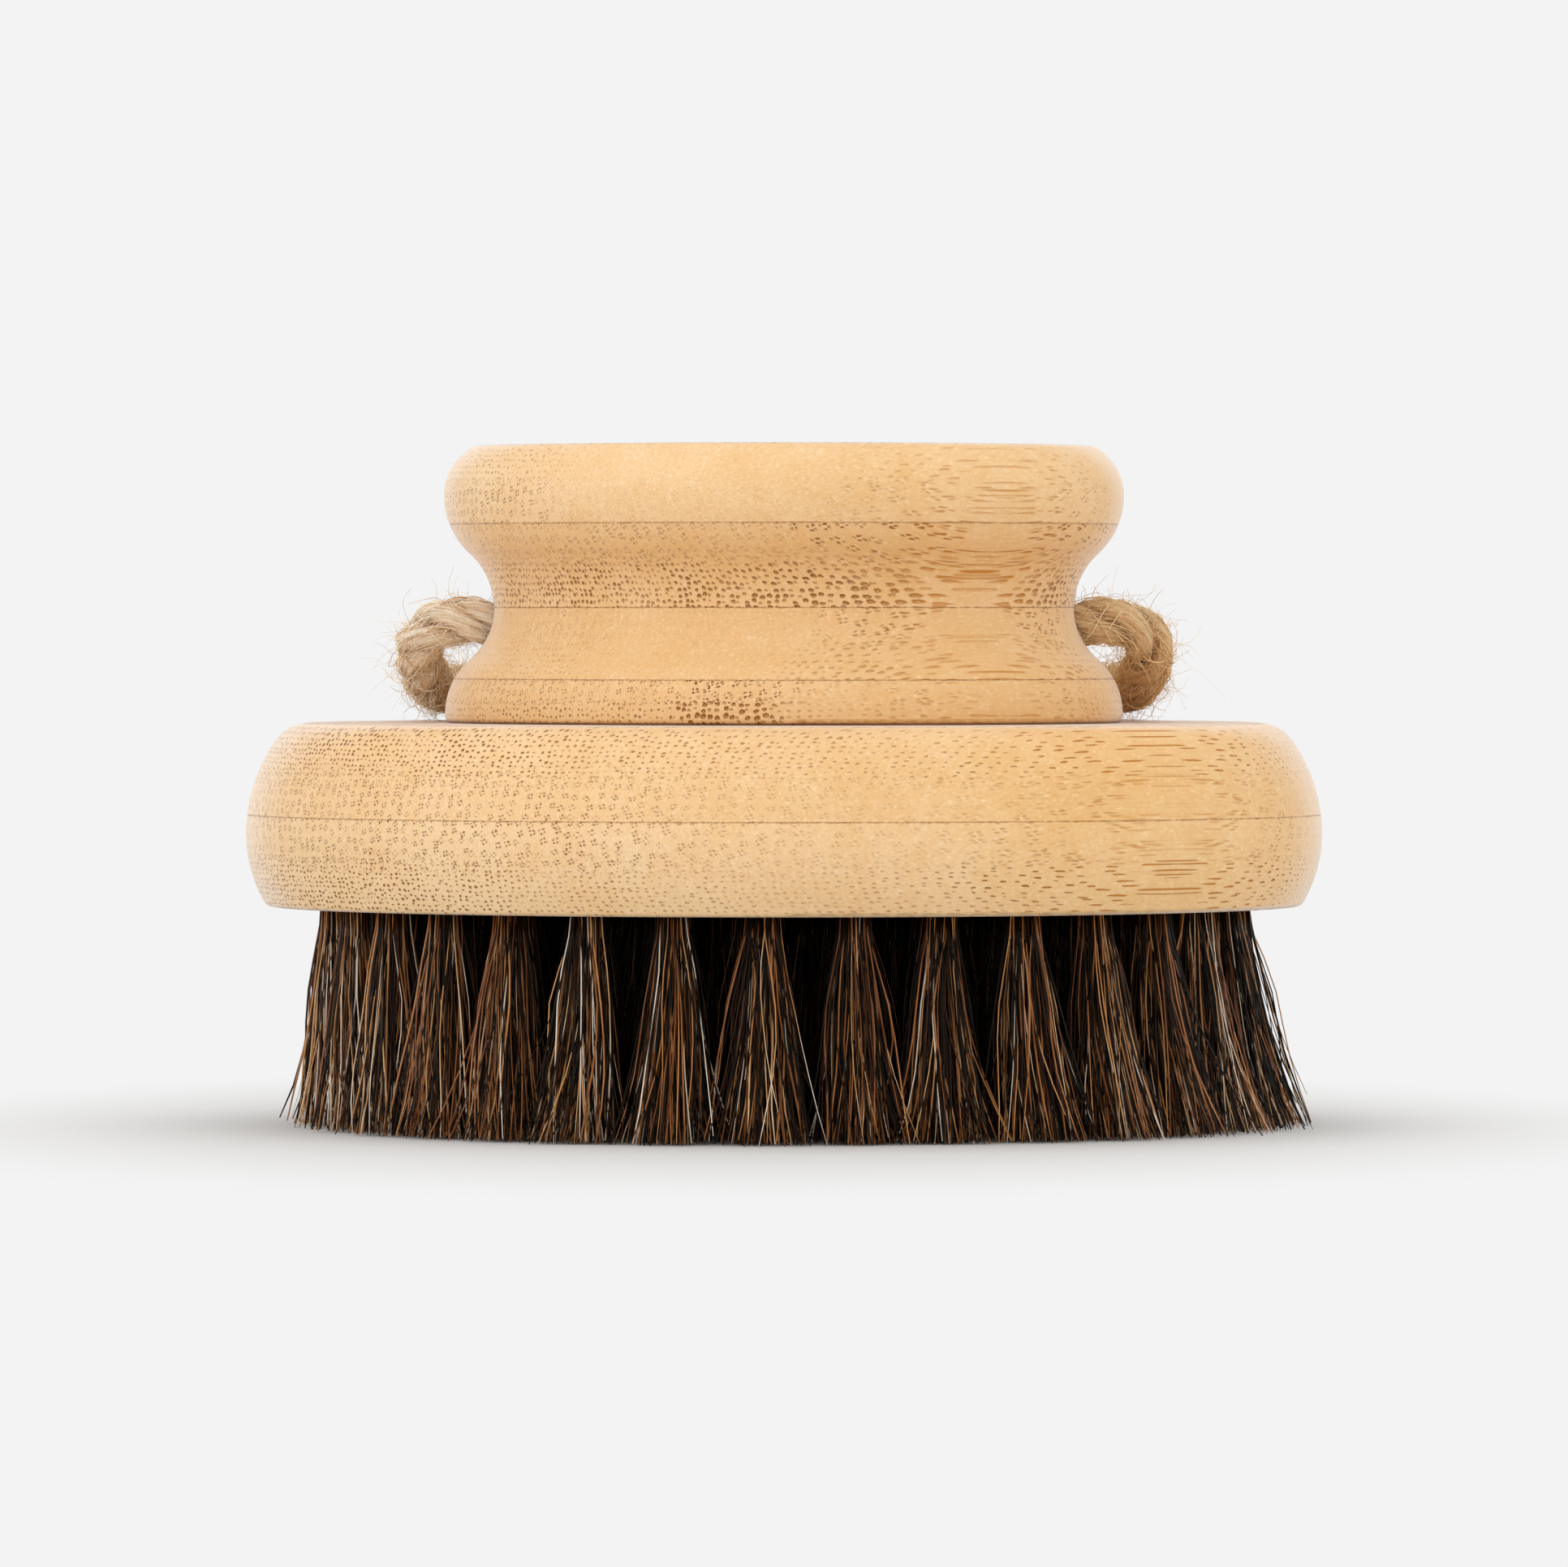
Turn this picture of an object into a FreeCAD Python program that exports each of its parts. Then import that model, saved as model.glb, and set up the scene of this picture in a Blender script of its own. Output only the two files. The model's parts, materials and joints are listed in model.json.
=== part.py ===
"""Round bamboo dry brush: a turned knob glued and dowelled to a turned head, horsehair tufts held in
blind holes by wire anchors, and a knotted jute cord that swings in a hole through the knob's waist.

Frame: millimetres, +Z up, origin on the brush's axis in the plane of the bristle tips. The cord's hole
runs along X, and at rest the cord's loop lies on the head behind the knob, towards +Y."""

import FreeCAD, Part
import math
import os

import Sketcher
from FreeCAD import Placement, Rotation, Vector

DOCUMENT = "DryBrush"
SHEET = "Dimensions"

# alias, value in millimetres (or degrees, or a count), what it is
DRIVING_DIMENSIONS = [
    ("bristle_length", 20.5, "free length of the tufts, so also the height of the head's underside"),
    ("head_radius", 50.0, "widest radius of the head"),
    ("head_thickness", 17.0, "two glued plies"),
    ("head_ply", 8.5, "thickness of the head's lower ply"),
    ("rim_height", 6.7, "height of the head's widest point above its underside"),
    ("rim_arc_low", 12.5, "arc of the rim under its widest point"),
    ("rim_arc_high", 15.0, "arc of the rim over its widest point"),
    ("rim_top_round", 4.0, "round between the rim and the flat deck"),
    ("rim_bottom_round", 0.8, "round between the rim and the underside"),
    ("knob_height", 25.7, "knob, from the deck to its flat top"),
    ("foot_radius", 31.5, "widest radius of the knob's foot"),
    ("foot_height", 0.9, "height of the foot's widest point above the deck"),
    ("foot_arc", 6.5, "arc of the foot's lip"),
    ("foot_round", 0.6, "round under the foot"),
    ("waist_radius", 27.0, "narrowest radius of the knob"),
    ("lip_radius", 31.6, "widest radius of the knob's grip"),
    ("lip_height", 21.1, "height of the grip's widest point above the deck"),
    ("lip_arc_low", 7.3, "arc of the grip's lip under its widest point"),
    ("lip_arc_high", 5.2, "arc of the grip's lip over its widest point"),
    ("lip_top_round", 1.4, "round between the lip and the flat top"),
    ("foot_ply_top", 4.1, "height of the knob's lowest glue line above the deck"),
    ("waist_ply_top", 10.7, "height of the knob's middle glue line above the deck"),
    ("grip_ply_top", 18.4, "height of the knob's upper glue line above the deck"),
    ("glue_groove", 0.06, "depth and half width of the groove that sanding leaves at a glue line"),
    ("dowel_radius", 4.0, "two beech dowels between head and knob"),
    ("dowel_offset", 15.0, "distance of each dowel from the brush's axis"),
    ("dowel_in_head", 7.5, "dowel length in the head"),
    ("dowel_in_knob", 9.5, "dowel length in the knob"),
    ("dowel_end_gap", 0.5, "space for glue past each end of a dowel"),
    ("cord_hole_radius", 2.75, "hole through the knob's waist"),
    ("cord_hole_height", 9.3, "height of the cord hole's axis above the deck"),
    ("cord_radius", 2.35, "three-strand jute cord"),
    ("hole_radius", 1.7, "blind hole of one tuft"),
    ("hole_depth", 8.0, "depth of a tuft's hole"),
    ("tuft_root_radius", 1.5, "tuft in its hole"),
    ("tuft_tip_radius", 3.1, "tuft at its trimmed tips"),
    ("tuft_splay", 1.055, "spread of a tuft ring's radius from root to tips"),
    ("tuft_top_gap", 0.1, "space over a folded tuft"),
    ("tuft_phase", 8.65, "angle of the outer ring's first tuft from +X, in degrees"),
    ("anchor_length", 4.0, "flat wire across a tuft's hole, biting into both sides of it"),
    ("anchor_width", 1.5, "height of the flat wire on edge"),
    ("anchor_thick", 0.3, "thickness of the flat wire"),
    ("anchor_top_gap", 0.6, "hair folded over the wire, between it and the hole's end"),
    ("ring_pitch", 6.5, "distance from one ring of tufts to the next"),
    ("outer_ring_radius", 41.7, "radius of the outer ring of tufts"),
]

# Tufts in each ring, from the outside in. The last is the single tuft on the axis.
RING_COUNTS = [32, 27, 22, 17, 12, 7, 1]
RING_STAGGER = 5.0
SLAB_HALF_WIDTH = 60.0

# Where the knob's waist arc starts before its tangent lips settle it, and half of its gauge line.
WAIST_ARC_START = 6.5
WAIST_GAUGE_HALF = 2.0


def dim(alias):
    """The value of one cell of the sheet."""
    return float(sheet.get(alias))


def cell(alias):
    """The expression that reads one cell of the sheet."""
    return f"{SHEET}.{alias}"


def make_sheet():
    made = doc.addObject("Spreadsheet::Sheet", SHEET)
    for row, (alias, value, meaning) in enumerate(DRIVING_DIMENSIONS, start=1):
        made.set(f"A{row}", meaning)
        made.set(f"B{row}", str(value))
        made.setAlias(f"B{row}", alias)
    doc.recompute()
    return made


# ---------------------------------------------------------------- sketches


def new_body(name):
    return doc.addObject("PartDesign::Body", name)


def new_sketch(body, name, plane, level=None):
    """A sketch on one of the body's origin planes. level is an expression for its offset."""
    made = body.newObject("Sketcher::SketchObject", name)
    origin_plane = next(f for f in body.Origin.OriginFeatures if f.Role == plane)
    made.AttachmentSupport = (origin_plane, [""])
    made.MapMode = "FlatFace"
    if level:
        made.setExpression("AttachmentOffset.Base.z", level)
    return made


def constrain(sketch, kind, *where, value=None, expression=None):
    """One constraint. With an expression, its value stays bound to the sheet."""
    if expression is None:
        numbers = where if value is None else (*where, value)
        return sketch.addConstraint(Sketcher.Constraint(kind, *numbers))
    index = sketch.addConstraint(Sketcher.Constraint(kind, *where, value))
    sketch.setExpression(f"Constraints[{index}]", expression)
    return index


def line(sketch, start, end):
    return sketch.addGeometry(Part.LineSegment(Vector(*start, 0), Vector(*end, 0)), False)


def arc(sketch, centre, radius, start_deg, end_deg):
    circle = Part.Circle(Vector(*centre, 0), Vector(0, 0, 1), radius)
    return sketch.addGeometry(
        Part.ArcOfCircle(circle, math.radians(start_deg), math.radians(end_deg)), False
    )


def tangent_ends(sketch, first, first_end, second, second_end):
    constrain(sketch, "Tangent", first, first_end, second, second_end)


def circle_at(sketch, x_value, y_value, x_expression, y_expression, radius_alias):
    """A circle whose centre and radius are bound to the sheet."""
    index = sketch.addGeometry(
        Part.Circle(Vector(x_value, y_value, 0), Vector(0, 0, 1), dim(radius_alias)), False
    )
    constrain(sketch, "Radius", index, value=dim(radius_alias), expression=cell(radius_alias))
    for kind, value, expression in (
        ("DistanceX", x_value, x_expression),
        ("DistanceY", y_value, y_expression),
    ):
        if expression is None:
            along = -2 if kind == "DistanceX" else -1
            constrain(sketch, "PointOnObject", index, 3, along)
        else:
            constrain(sketch, kind, -1, 1, index, 3, value=value, expression=expression)
    return index


def rectangle_at(sketch, x_expression, x_value, width_alias, height_alias):
    """A rectangle centred on (x, 0), width along X, with its place and sides bound to the sheet."""
    half_w, half_h = dim(width_alias) / 2, dim(height_alias) / 2
    corners = [
        (x_value - half_w, -half_h),
        (x_value + half_w, -half_h),
        (x_value + half_w, half_h),
        (x_value - half_w, half_h),
    ]
    sides = [line(sketch, corners[i], corners[(i + 1) % 4]) for i in range(4)]
    for i in range(4):
        constrain(sketch, "Coincident", sides[i], 2, sides[(i + 1) % 4], 1)
        constrain(sketch, "Horizontal" if i % 2 == 0 else "Vertical", sides[i])
    constrain(
        sketch, "DistanceX", sides[0], 1, sides[0], 2,
        value=dim(width_alias), expression=cell(width_alias),
    )
    constrain(
        sketch, "DistanceY", sides[1], 1, sides[1], 2,
        value=dim(height_alias), expression=cell(height_alias),
    )
    constrain(
        sketch, "DistanceY", sides[0], 1, -1, 1,
        value=half_h, expression=f"{cell(height_alias)} / 2",
    )
    constrain(
        sketch, "DistanceX", -1, 1, sides[0], 2,
        value=x_value + half_w, expression=f"{x_expression} + {cell(width_alias)} / 2",
    )


def close_on_axis(sketch, base, top, base_level, top_level, base_expression, height_expression):
    """Ends a half profile: its base and top lines are level and meet a line on the turning axis."""
    axis = line(sketch, (0, top_level), (0, base_level))
    constrain(sketch, "Horizontal", base)
    constrain(sketch, "Horizontal", top)
    constrain(sketch, "PointOnObject", base, 1, -2)
    constrain(sketch, "Coincident", top, 2, axis, 1)
    constrain(sketch, "Coincident", axis, 2, base, 1)
    constrain(sketch, "Vertical", axis)
    constrain(sketch, "DistanceY", -1, 1, base, 1, value=base_level, expression=base_expression)
    constrain(
        sketch, "DistanceY", axis, 2, axis, 1,
        value=top_level - base_level, expression=height_expression,
    )


# ---------------------------------------------------------------- features


def revolve(body, sketch, name):
    made = body.newObject("PartDesign::Revolution", name)
    made.Profile = sketch
    made.ReferenceAxis = (sketch, ["V_Axis"])
    made.Angle = 360.0
    return made


def extrude(body, kind, sketch, name, length, reversed_way=False):
    """A Pad or a Pocket of a bound length."""
    made = body.newObject(f"PartDesign::{kind}", name)
    made.Profile = sketch
    made.setExpression("Length", length)
    made.Reversed = reversed_way
    return made


def polar(body, feature, sketch, name, count):
    """count copies of a feature round the brush's axis. The body's tip moves to the pattern."""
    made = body.newObject("PartDesign::PolarPattern", name)
    made.Originals = [feature]
    made.Axis = (sketch, ["N_Axis"])
    made.Angle = 360.0
    made.Occurrences = count
    body.Tip = made
    return made


def groove_at_glue_lines(body, name, lines):
    """A shallow V turned into the surface at each glue line. lines holds (radius, level) expressions."""
    sketch = new_sketch(body, name + "_sketch", "XZ_Plane")
    depth = dim("glue_groove")
    for radius_expression, level_expression in lines:
        radius = doc.getObject(SHEET).evalExpression(strip_sheet(radius_expression))
        level = doc.getObject(SHEET).evalExpression(strip_sheet(level_expression))
        radius, level = float(radius), float(level)
        apex = (radius - depth, level)
        low = (radius + depth, level - 2 * depth)
        high = (radius + depth, level + 2 * depth)
        sides = [line(sketch, apex, low), line(sketch, low, high), line(sketch, high, apex)]
        for i in range(3):
            constrain(sketch, "Coincident", sides[i], 2, sides[(i + 1) % 3], 1)
        constrain(sketch, "Vertical", sides[1])
        reach = f"2 * {cell('glue_groove')}"
        constrain(
            sketch, "DistanceX", -1, 1, sides[0], 1, value=radius - depth,
            expression=f"{radius_expression} - {cell('glue_groove')}",
        )
        constrain(sketch, "DistanceY", -1, 1, sides[0], 1, value=level, expression=level_expression)
        constrain(sketch, "DistanceX", sides[0], 1, sides[0], 2, value=2 * depth, expression=reach)
        constrain(sketch, "DistanceY", sides[0], 2, sides[0], 1, value=2 * depth, expression=reach)
        constrain(sketch, "DistanceY", sides[2], 2, sides[2], 1, value=2 * depth, expression=reach)
    made = body.newObject("PartDesign::Groove", name)
    made.Profile = sketch
    made.ReferenceAxis = (sketch, ["V_Axis"])
    made.Angle = 360.0
    return made


def strip_sheet(expression):
    """An expression as the sheet itself reads it, without its own name before each alias."""
    return expression.replace(SHEET + ".", "")


def slice_ply(label, blank, low_expression, height_expression):
    """One ply: the part of a turned blank between two glue lines."""
    slab = doc.addObject("Part::Box", "slab_" + label)
    slab.Length = slab.Width = 2 * SLAB_HALF_WIDTH
    slab.Placement = Placement(Vector(-SLAB_HALF_WIDTH, -SLAB_HALF_WIDTH, 0), Rotation())
    slab.setExpression("Height", height_expression)
    slab.setExpression("Placement.Base.z", low_expression)
    ply = doc.addObject("Part::Common", label)
    ply.Base = blank
    ply.Tool = slab
    ply.Label = label
    return ply


# ---------------------------------------------------------------- the head

UNDERSIDE = cell("bristle_length")
DECK = f"({cell('bristle_length')} + {cell('head_thickness')})"


def head_profile(body):
    """Half section of the head: flat underside, rim of two arcs, rounded edge and flat deck."""
    sketch = new_sketch(body, "head_profile", "XZ_Plane")
    low, deck = dim("bristle_length"), dim("bristle_length") + dim("head_thickness")
    widest = low + dim("rim_height")
    radius, arc_low, arc_high = dim("head_radius"), dim("rim_arc_low"), dim("rim_arc_high")
    top_round, bottom_round = dim("rim_top_round"), dim("rim_bottom_round")
    round_x = radius - arc_high + math.sqrt(
        (arc_high - top_round) ** 2 - (deck - top_round - widest) ** 2
    )
    corner_x = radius - arc_low + math.sqrt(
        (arc_low - bottom_round) ** 2 - (widest - low - bottom_round) ** 2
    )
    lean = math.degrees(math.atan2(widest - low - bottom_round, corner_x - radius + arc_low))
    rise = math.degrees(math.atan2(deck - top_round - widest, round_x - radius + arc_high))
    base = line(sketch, (0, low), (corner_x, low))
    corner = arc(sketch, (corner_x, low + bottom_round), bottom_round, -90, -lean)
    lower = arc(sketch, (radius - arc_low, widest), arc_low, -lean, 0)
    upper = arc(sketch, (radius - arc_high, widest), arc_high, 0, rise)
    shoulder = arc(sketch, (round_x, deck - top_round), top_round, rise, 90)
    top = line(sketch, (round_x, deck), (0, deck))
    close_on_axis(sketch, base, top, low, deck, UNDERSIDE, cell("head_thickness"))
    chain = [base, corner, lower, upper, shoulder, top]
    for first, second in zip(chain, chain[1:]):
        tangent_ends(sketch, first, 2, second, 1)
    for index, alias in (
        (corner, "rim_bottom_round"),
        (lower, "rim_arc_low"),
        (upper, "rim_arc_high"),
        (shoulder, "rim_top_round"),
    ):
        constrain(sketch, "Radius", index, value=dim(alias), expression=cell(alias))
    constrain(
        sketch, "DistanceX", -1, 1, lower, 3, value=radius - arc_low,
        expression=f"{cell('head_radius')} - {cell('rim_arc_low')}",
    )
    constrain(
        sketch, "DistanceY", base, 1, lower, 3,
        value=dim("rim_height"), expression=cell("rim_height"),
    )
    constrain(sketch, "Horizontal", lower, 3, upper, 3)
    return sketch


def ring_radius_expression(ring):
    return f"({cell('outer_ring_radius')} - {ring} * {cell('ring_pitch')})"


def ring_radius(ring):
    """Radius of a ring of tufts at the head's underside. The single middle tuft stands on the axis."""
    if RING_COUNTS[ring] == 1:
        return 0.0
    return dim("outer_ring_radius") - ring * dim("ring_pitch")


def ring_angle_expression(ring):
    return f"({cell('tuft_phase')} + {ring * RING_STAGGER})"


def drill_tuft_holes(body):
    """One blind hole and its polar pattern for each ring of tufts."""
    for ring, count in enumerate(RING_COUNTS):
        sketch = new_sketch(body, f"hole_sketch_{ring + 1}", "XY_Plane", UNDERSIDE)
        if count == 1:
            circle_at(sketch, 0, 0, None, None, "hole_radius")
        else:
            angle = math.radians(dim("tuft_phase") + ring * RING_STAGGER)
            radius, turn = ring_radius_expression(ring), ring_angle_expression(ring)
            circle_at(
                sketch,
                ring_radius(ring) * math.cos(angle),
                ring_radius(ring) * math.sin(angle),
                f"{radius} * cos({turn})",
                f"{radius} * sin({turn})",
                "hole_radius",
            )
        hole = extrude(body, "Pocket", sketch, f"tuft_hole_{ring + 1}", cell("hole_depth"), True)
        if count > 1:
            polar(body, hole, sketch, f"tuft_holes_{ring + 1}", count)
        doc.recompute()


def drill_dowel_holes(body, side, length_alias, reversed_way):
    """Two blind holes, one on each side of the axis along Y, for the dowels between head and knob."""
    sketch = new_sketch(body, f"dowel_sketch_{side}", "XY_Plane", DECK)
    for sign in (-1, 1):
        index = sketch.addGeometry(
            Part.Circle(
                Vector(0, sign * dim("dowel_offset"), 0), Vector(0, 0, 1), dim("dowel_radius")
            ),
            False,
        )
        constrain(
            sketch, "Radius", index, value=dim("dowel_radius"), expression=cell("dowel_radius")
        )
        constrain(sketch, "PointOnObject", index, 3, -2)
        ends = (-1, 1, index, 3) if sign > 0 else (index, 3, -1, 1)
        constrain(
            sketch, "DistanceY", *ends, value=dim("dowel_offset"), expression=cell("dowel_offset")
        )
    depth = f"{cell(length_alias)} + {cell('dowel_end_gap')}"
    return extrude(body, "Pocket", sketch, f"dowel_holes_{side}", depth, reversed_way)


def make_head():
    body = new_body("head_blank")
    revolve(body, head_profile(body), "head_turned")
    rise = f"({cell('head_ply')} - {cell('rim_height')})"
    rim_at_glue = (
        f"({cell('head_radius')} - {cell('rim_arc_high')}"
        f" + sqrt({cell('rim_arc_high')} ^ 2 - {rise} ^ 2))"
    )
    level = f"({cell('bristle_length')} + {cell('head_ply')})"
    groove_at_glue_lines(body, "head_glue_groove", [(rim_at_glue, level)])
    doc.recompute()
    drill_dowel_holes(body, "head", "dowel_in_head", False)
    doc.recompute()
    drill_tuft_holes(body)
    slice_ply("head_lower_ply", body, UNDERSIDE, cell("head_ply"))
    slice_ply(
        "head_upper_ply", body, level, f"{cell('head_thickness')} - {cell('head_ply')}"
    )


# ---------------------------------------------------------------- the knob


def knob_profile(body):
    """Half section of the knob: foot lip, concave waist tangent to both lips, grip lip, flat top."""
    sketch = new_sketch(body, "knob_profile", "XZ_Plane")
    deck = dim("bristle_length") + dim("head_thickness")
    top_level = deck + dim("knob_height")
    foot = (dim("foot_radius") - dim("foot_arc"), deck + dim("foot_height"))
    lip = (dim("lip_radius") - dim("lip_arc_low"), deck + dim("lip_height"))
    lip_high_x = dim("lip_radius") - dim("lip_arc_high")
    waist_level = (foot[1] + lip[1]) / 2
    waist_x = dim("waist_radius") + WAIST_ARC_START
    foot_turn = math.degrees(math.atan2(waist_level - foot[1], waist_x - foot[0]))
    lip_turn = math.degrees(math.atan2(lip[1] - waist_level, waist_x - lip[0]))
    top_round, foot_round = dim("lip_top_round"), dim("foot_round")
    top_rise = top_level - top_round - lip[1]
    top_x = lip_high_x + math.sqrt((dim("lip_arc_high") - top_round) ** 2 - top_rise**2)
    top_turn = math.degrees(math.atan2(top_rise, top_x - lip_high_x))
    foot_drop = dim("foot_height") - foot_round
    foot_x = foot[0] + math.sqrt((dim("foot_arc") - foot_round) ** 2 - foot_drop**2)
    foot_lean = math.degrees(math.atan2(foot_drop, foot_x - foot[0]))

    base = line(sketch, (0, deck), (foot_x, deck))
    under = arc(sketch, (foot_x, deck + foot_round), foot_round, -90, -foot_lean)
    foot_lip = arc(sketch, foot, dim("foot_arc"), -foot_lean, foot_turn)
    waist = arc(
        sketch, (waist_x, waist_level), WAIST_ARC_START, 180 - lip_turn, 180 + foot_turn
    )
    lip_low = arc(sketch, lip, dim("lip_arc_low"), -lip_turn, 0)
    lip_high = arc(sketch, (lip_high_x, lip[1]), dim("lip_arc_high"), 0, top_turn)
    crown = arc(sketch, (top_x, top_level - top_round), top_round, top_turn, 90)
    top = line(sketch, (top_x, top_level), (0, top_level))
    close_on_axis(sketch, base, top, deck, top_level, DECK, cell("knob_height"))

    tangent_ends(sketch, base, 2, under, 1)
    tangent_ends(sketch, under, 2, foot_lip, 1)
    tangent_ends(sketch, foot_lip, 2, waist, 2)
    tangent_ends(sketch, waist, 1, lip_low, 1)
    tangent_ends(sketch, lip_low, 2, lip_high, 1)
    tangent_ends(sketch, lip_high, 2, crown, 1)
    tangent_ends(sketch, crown, 2, top, 1)
    for index, alias in (
        (under, "foot_round"),
        (foot_lip, "foot_arc"),
        (lip_low, "lip_arc_low"),
        (lip_high, "lip_arc_high"),
        (crown, "lip_top_round"),
    ):
        constrain(sketch, "Radius", index, value=dim(alias), expression=cell(alias))
    for index, centre, radius_alias, arc_alias, height_alias in (
        (foot_lip, foot, "foot_radius", "foot_arc", "foot_height"),
        (lip_low, lip, "lip_radius", "lip_arc_low", "lip_height"),
    ):
        constrain(
            sketch, "DistanceX", -1, 1, index, 3, value=centre[0],
            expression=f"{cell(radius_alias)} - {cell(arc_alias)}",
        )
        constrain(
            sketch, "DistanceY", base, 1, index, 3,
            value=dim(height_alias), expression=cell(height_alias),
        )
    constrain(sketch, "Horizontal", lip_low, 3, lip_high, 3)

    # The waist touches a line at the waist's radius, which with its two tangent lips sets its arc.
    gauge_low = waist_level - WAIST_GAUGE_HALF
    gauge = sketch.addGeometry(
        Part.LineSegment(
            Vector(dim("waist_radius"), gauge_low, 0),
            Vector(dim("waist_radius"), waist_level + WAIST_GAUGE_HALF, 0),
        ),
        True,
    )
    constrain(sketch, "Vertical", gauge)
    constrain(
        sketch, "DistanceX", -1, 1, gauge, 1,
        value=dim("waist_radius"), expression=cell("waist_radius"),
    )
    constrain(sketch, "Tangent", gauge, waist)
    constrain(sketch, "DistanceY", base, 1, gauge, 1, value=gauge_low - deck)
    constrain(sketch, "DistanceY", gauge, 1, gauge, 2, value=2 * WAIST_GAUGE_HALF)
    return sketch


def drill_cord_hole(body):
    """The hole along X through the knob's waist."""
    sketch = new_sketch(body, "cord_hole_sketch", "YZ_Plane")
    height = f"{DECK} + {cell('cord_hole_height')}"
    value = dim("bristle_length") + dim("head_thickness") + dim("cord_hole_height")
    circle_at(sketch, 0, value, None, height, "cord_hole_radius")
    hole = extrude(body, "Pocket", sketch, "cord_hole", f"4 * {cell('lip_radius')}")
    hole.Midplane = True
    return hole


def make_knob():
    body = new_body("knob_blank")
    revolve(body, knob_profile(body), "knob_turned")
    foot_rise = f"({cell('foot_ply_top')} - {cell('foot_height')})"
    lip_drop = f"({cell('lip_height')} - {cell('grip_ply_top')})"
    glue_lines = [
        (
            f"({cell('foot_radius')} - {cell('foot_arc')}"
            f" + sqrt({cell('foot_arc')} ^ 2 - {foot_rise} ^ 2))",
            f"({DECK} + {cell('foot_ply_top')})",
        ),
        (cell("waist_radius"), f"({DECK} + {cell('waist_ply_top')})"),
        (
            f"({cell('lip_radius')} - {cell('lip_arc_low')}"
            f" + sqrt({cell('lip_arc_low')} ^ 2 - {lip_drop} ^ 2))",
            f"({DECK} + {cell('grip_ply_top')})",
        ),
    ]
    groove_at_glue_lines(body, "knob_glue_grooves", glue_lines)
    doc.recompute()
    drill_dowel_holes(body, "knob", "dowel_in_knob", True)
    drill_cord_hole(body)
    doc.recompute()
    levels = [f"{DECK} + {cell(a)}" for a in ("foot_ply_top", "waist_ply_top", "grip_ply_top")]
    slice_ply("knob_foot_ply", body, DECK, cell("foot_ply_top"))
    slice_ply(
        "knob_waist_ply", body, levels[0], f"{cell('waist_ply_top')} - {cell('foot_ply_top')}"
    )
    slice_ply(
        "knob_grip_ply", body, levels[1], f"{cell('grip_ply_top')} - {cell('waist_ply_top')}"
    )
    slice_ply("knob_top_ply", body, levels[2], f"{cell('knob_height')} - {cell('grip_ply_top')}")


def make_dowels():
    """Two beech dowels, each half in the head and half in the knob."""
    rods = []
    for number, sign in ((1, -1), (2, 1)):
        rod = doc.addObject("Part::Cylinder", f"dowel_{number}")
        rod.setExpression("Radius", cell("dowel_radius"))
        rod.setExpression("Height", f"{cell('dowel_in_head')} + {cell('dowel_in_knob')}")
        rod.setExpression("Placement.Base.y", f"{sign} * {cell('dowel_offset')}")
        rod.setExpression("Placement.Base.z", f"{DECK} - {cell('dowel_in_head')}")
        rods.append(rod)
    pair = doc.addObject("Part::Compound", "knob_dowels")
    pair.Links = rods
    pair.Label = "knob_dowels"


# ---------------------------------------------------------------- tufts and anchors


def turn_to_ring_angle(body, ring):
    """Turns a ring's body so that its first tuft stands over that ring's first hole."""
    angle = dim("tuft_phase") + ring * RING_STAGGER
    body.Placement = Placement(Vector(0, 0, 0), Rotation(Vector(0, 0, 1), angle))


ANCHOR_LOW = (
    f"{UNDERSIDE} + {cell('hole_depth')} - {cell('anchor_top_gap')} - {cell('anchor_width')}"
)


def make_tuft_ring(ring):
    """A ring of horsehair tufts. Each fills its hole, is slotted by its anchor, and flares to its tips."""
    count = RING_COUNTS[ring]
    label = "tuft_centre" if count == 1 else f"tufts_ring_{ring + 1}"
    body = new_body(label)
    body.Label = label
    body.AllowCompound = True
    turn_to_ring_angle(body, ring)
    radius = None if count == 1 else ring_radius_expression(ring)
    fold_level = f"{UNDERSIDE} + {cell('hole_depth')} - {cell('tuft_top_gap')}"
    sections = []
    for part_name, level, spread, radius_alias in (
        ("fold", fold_level, 1.0, "tuft_root_radius"),
        ("root", UNDERSIDE, 1.0, "tuft_root_radius"),
        ("tips", None, dim("tuft_splay"), "tuft_tip_radius"),
    ):
        sketch = new_sketch(body, f"{label}_{part_name}", "XY_Plane", level)
        place = radius
        if radius and part_name == "tips":
            place = f"{radius} * {cell('tuft_splay')}"
        circle_at(sketch, ring_radius(ring) * spread, 0, place, None, radius_alias)
        sections.append(sketch)
    doc.recompute()
    flare = body.newObject("PartDesign::AdditiveLoft", f"{label}_flare")
    flare.Profile = sections[0]
    flare.Sections = [(section, [""]) for section in sections[1:]]
    flare.Ruled = True
    doc.recompute()
    slot_sketch = new_sketch(body, f"{label}_slot_sketch", "XY_Plane", ANCHOR_LOW)
    rectangle_at(
        slot_sketch, radius or "0", ring_radius(ring), "anchor_thick", "anchor_length"
    )
    slot = extrude(
        body, "Pocket", slot_sketch, f"{label}_slot", cell("anchor_width"), reversed_way=True
    )
    doc.recompute()
    if count > 1:
        pattern = polar(body, flare, slot_sketch, f"{label}_pattern", count)
        pattern.Originals = [flare, slot]
        doc.recompute()


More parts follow.
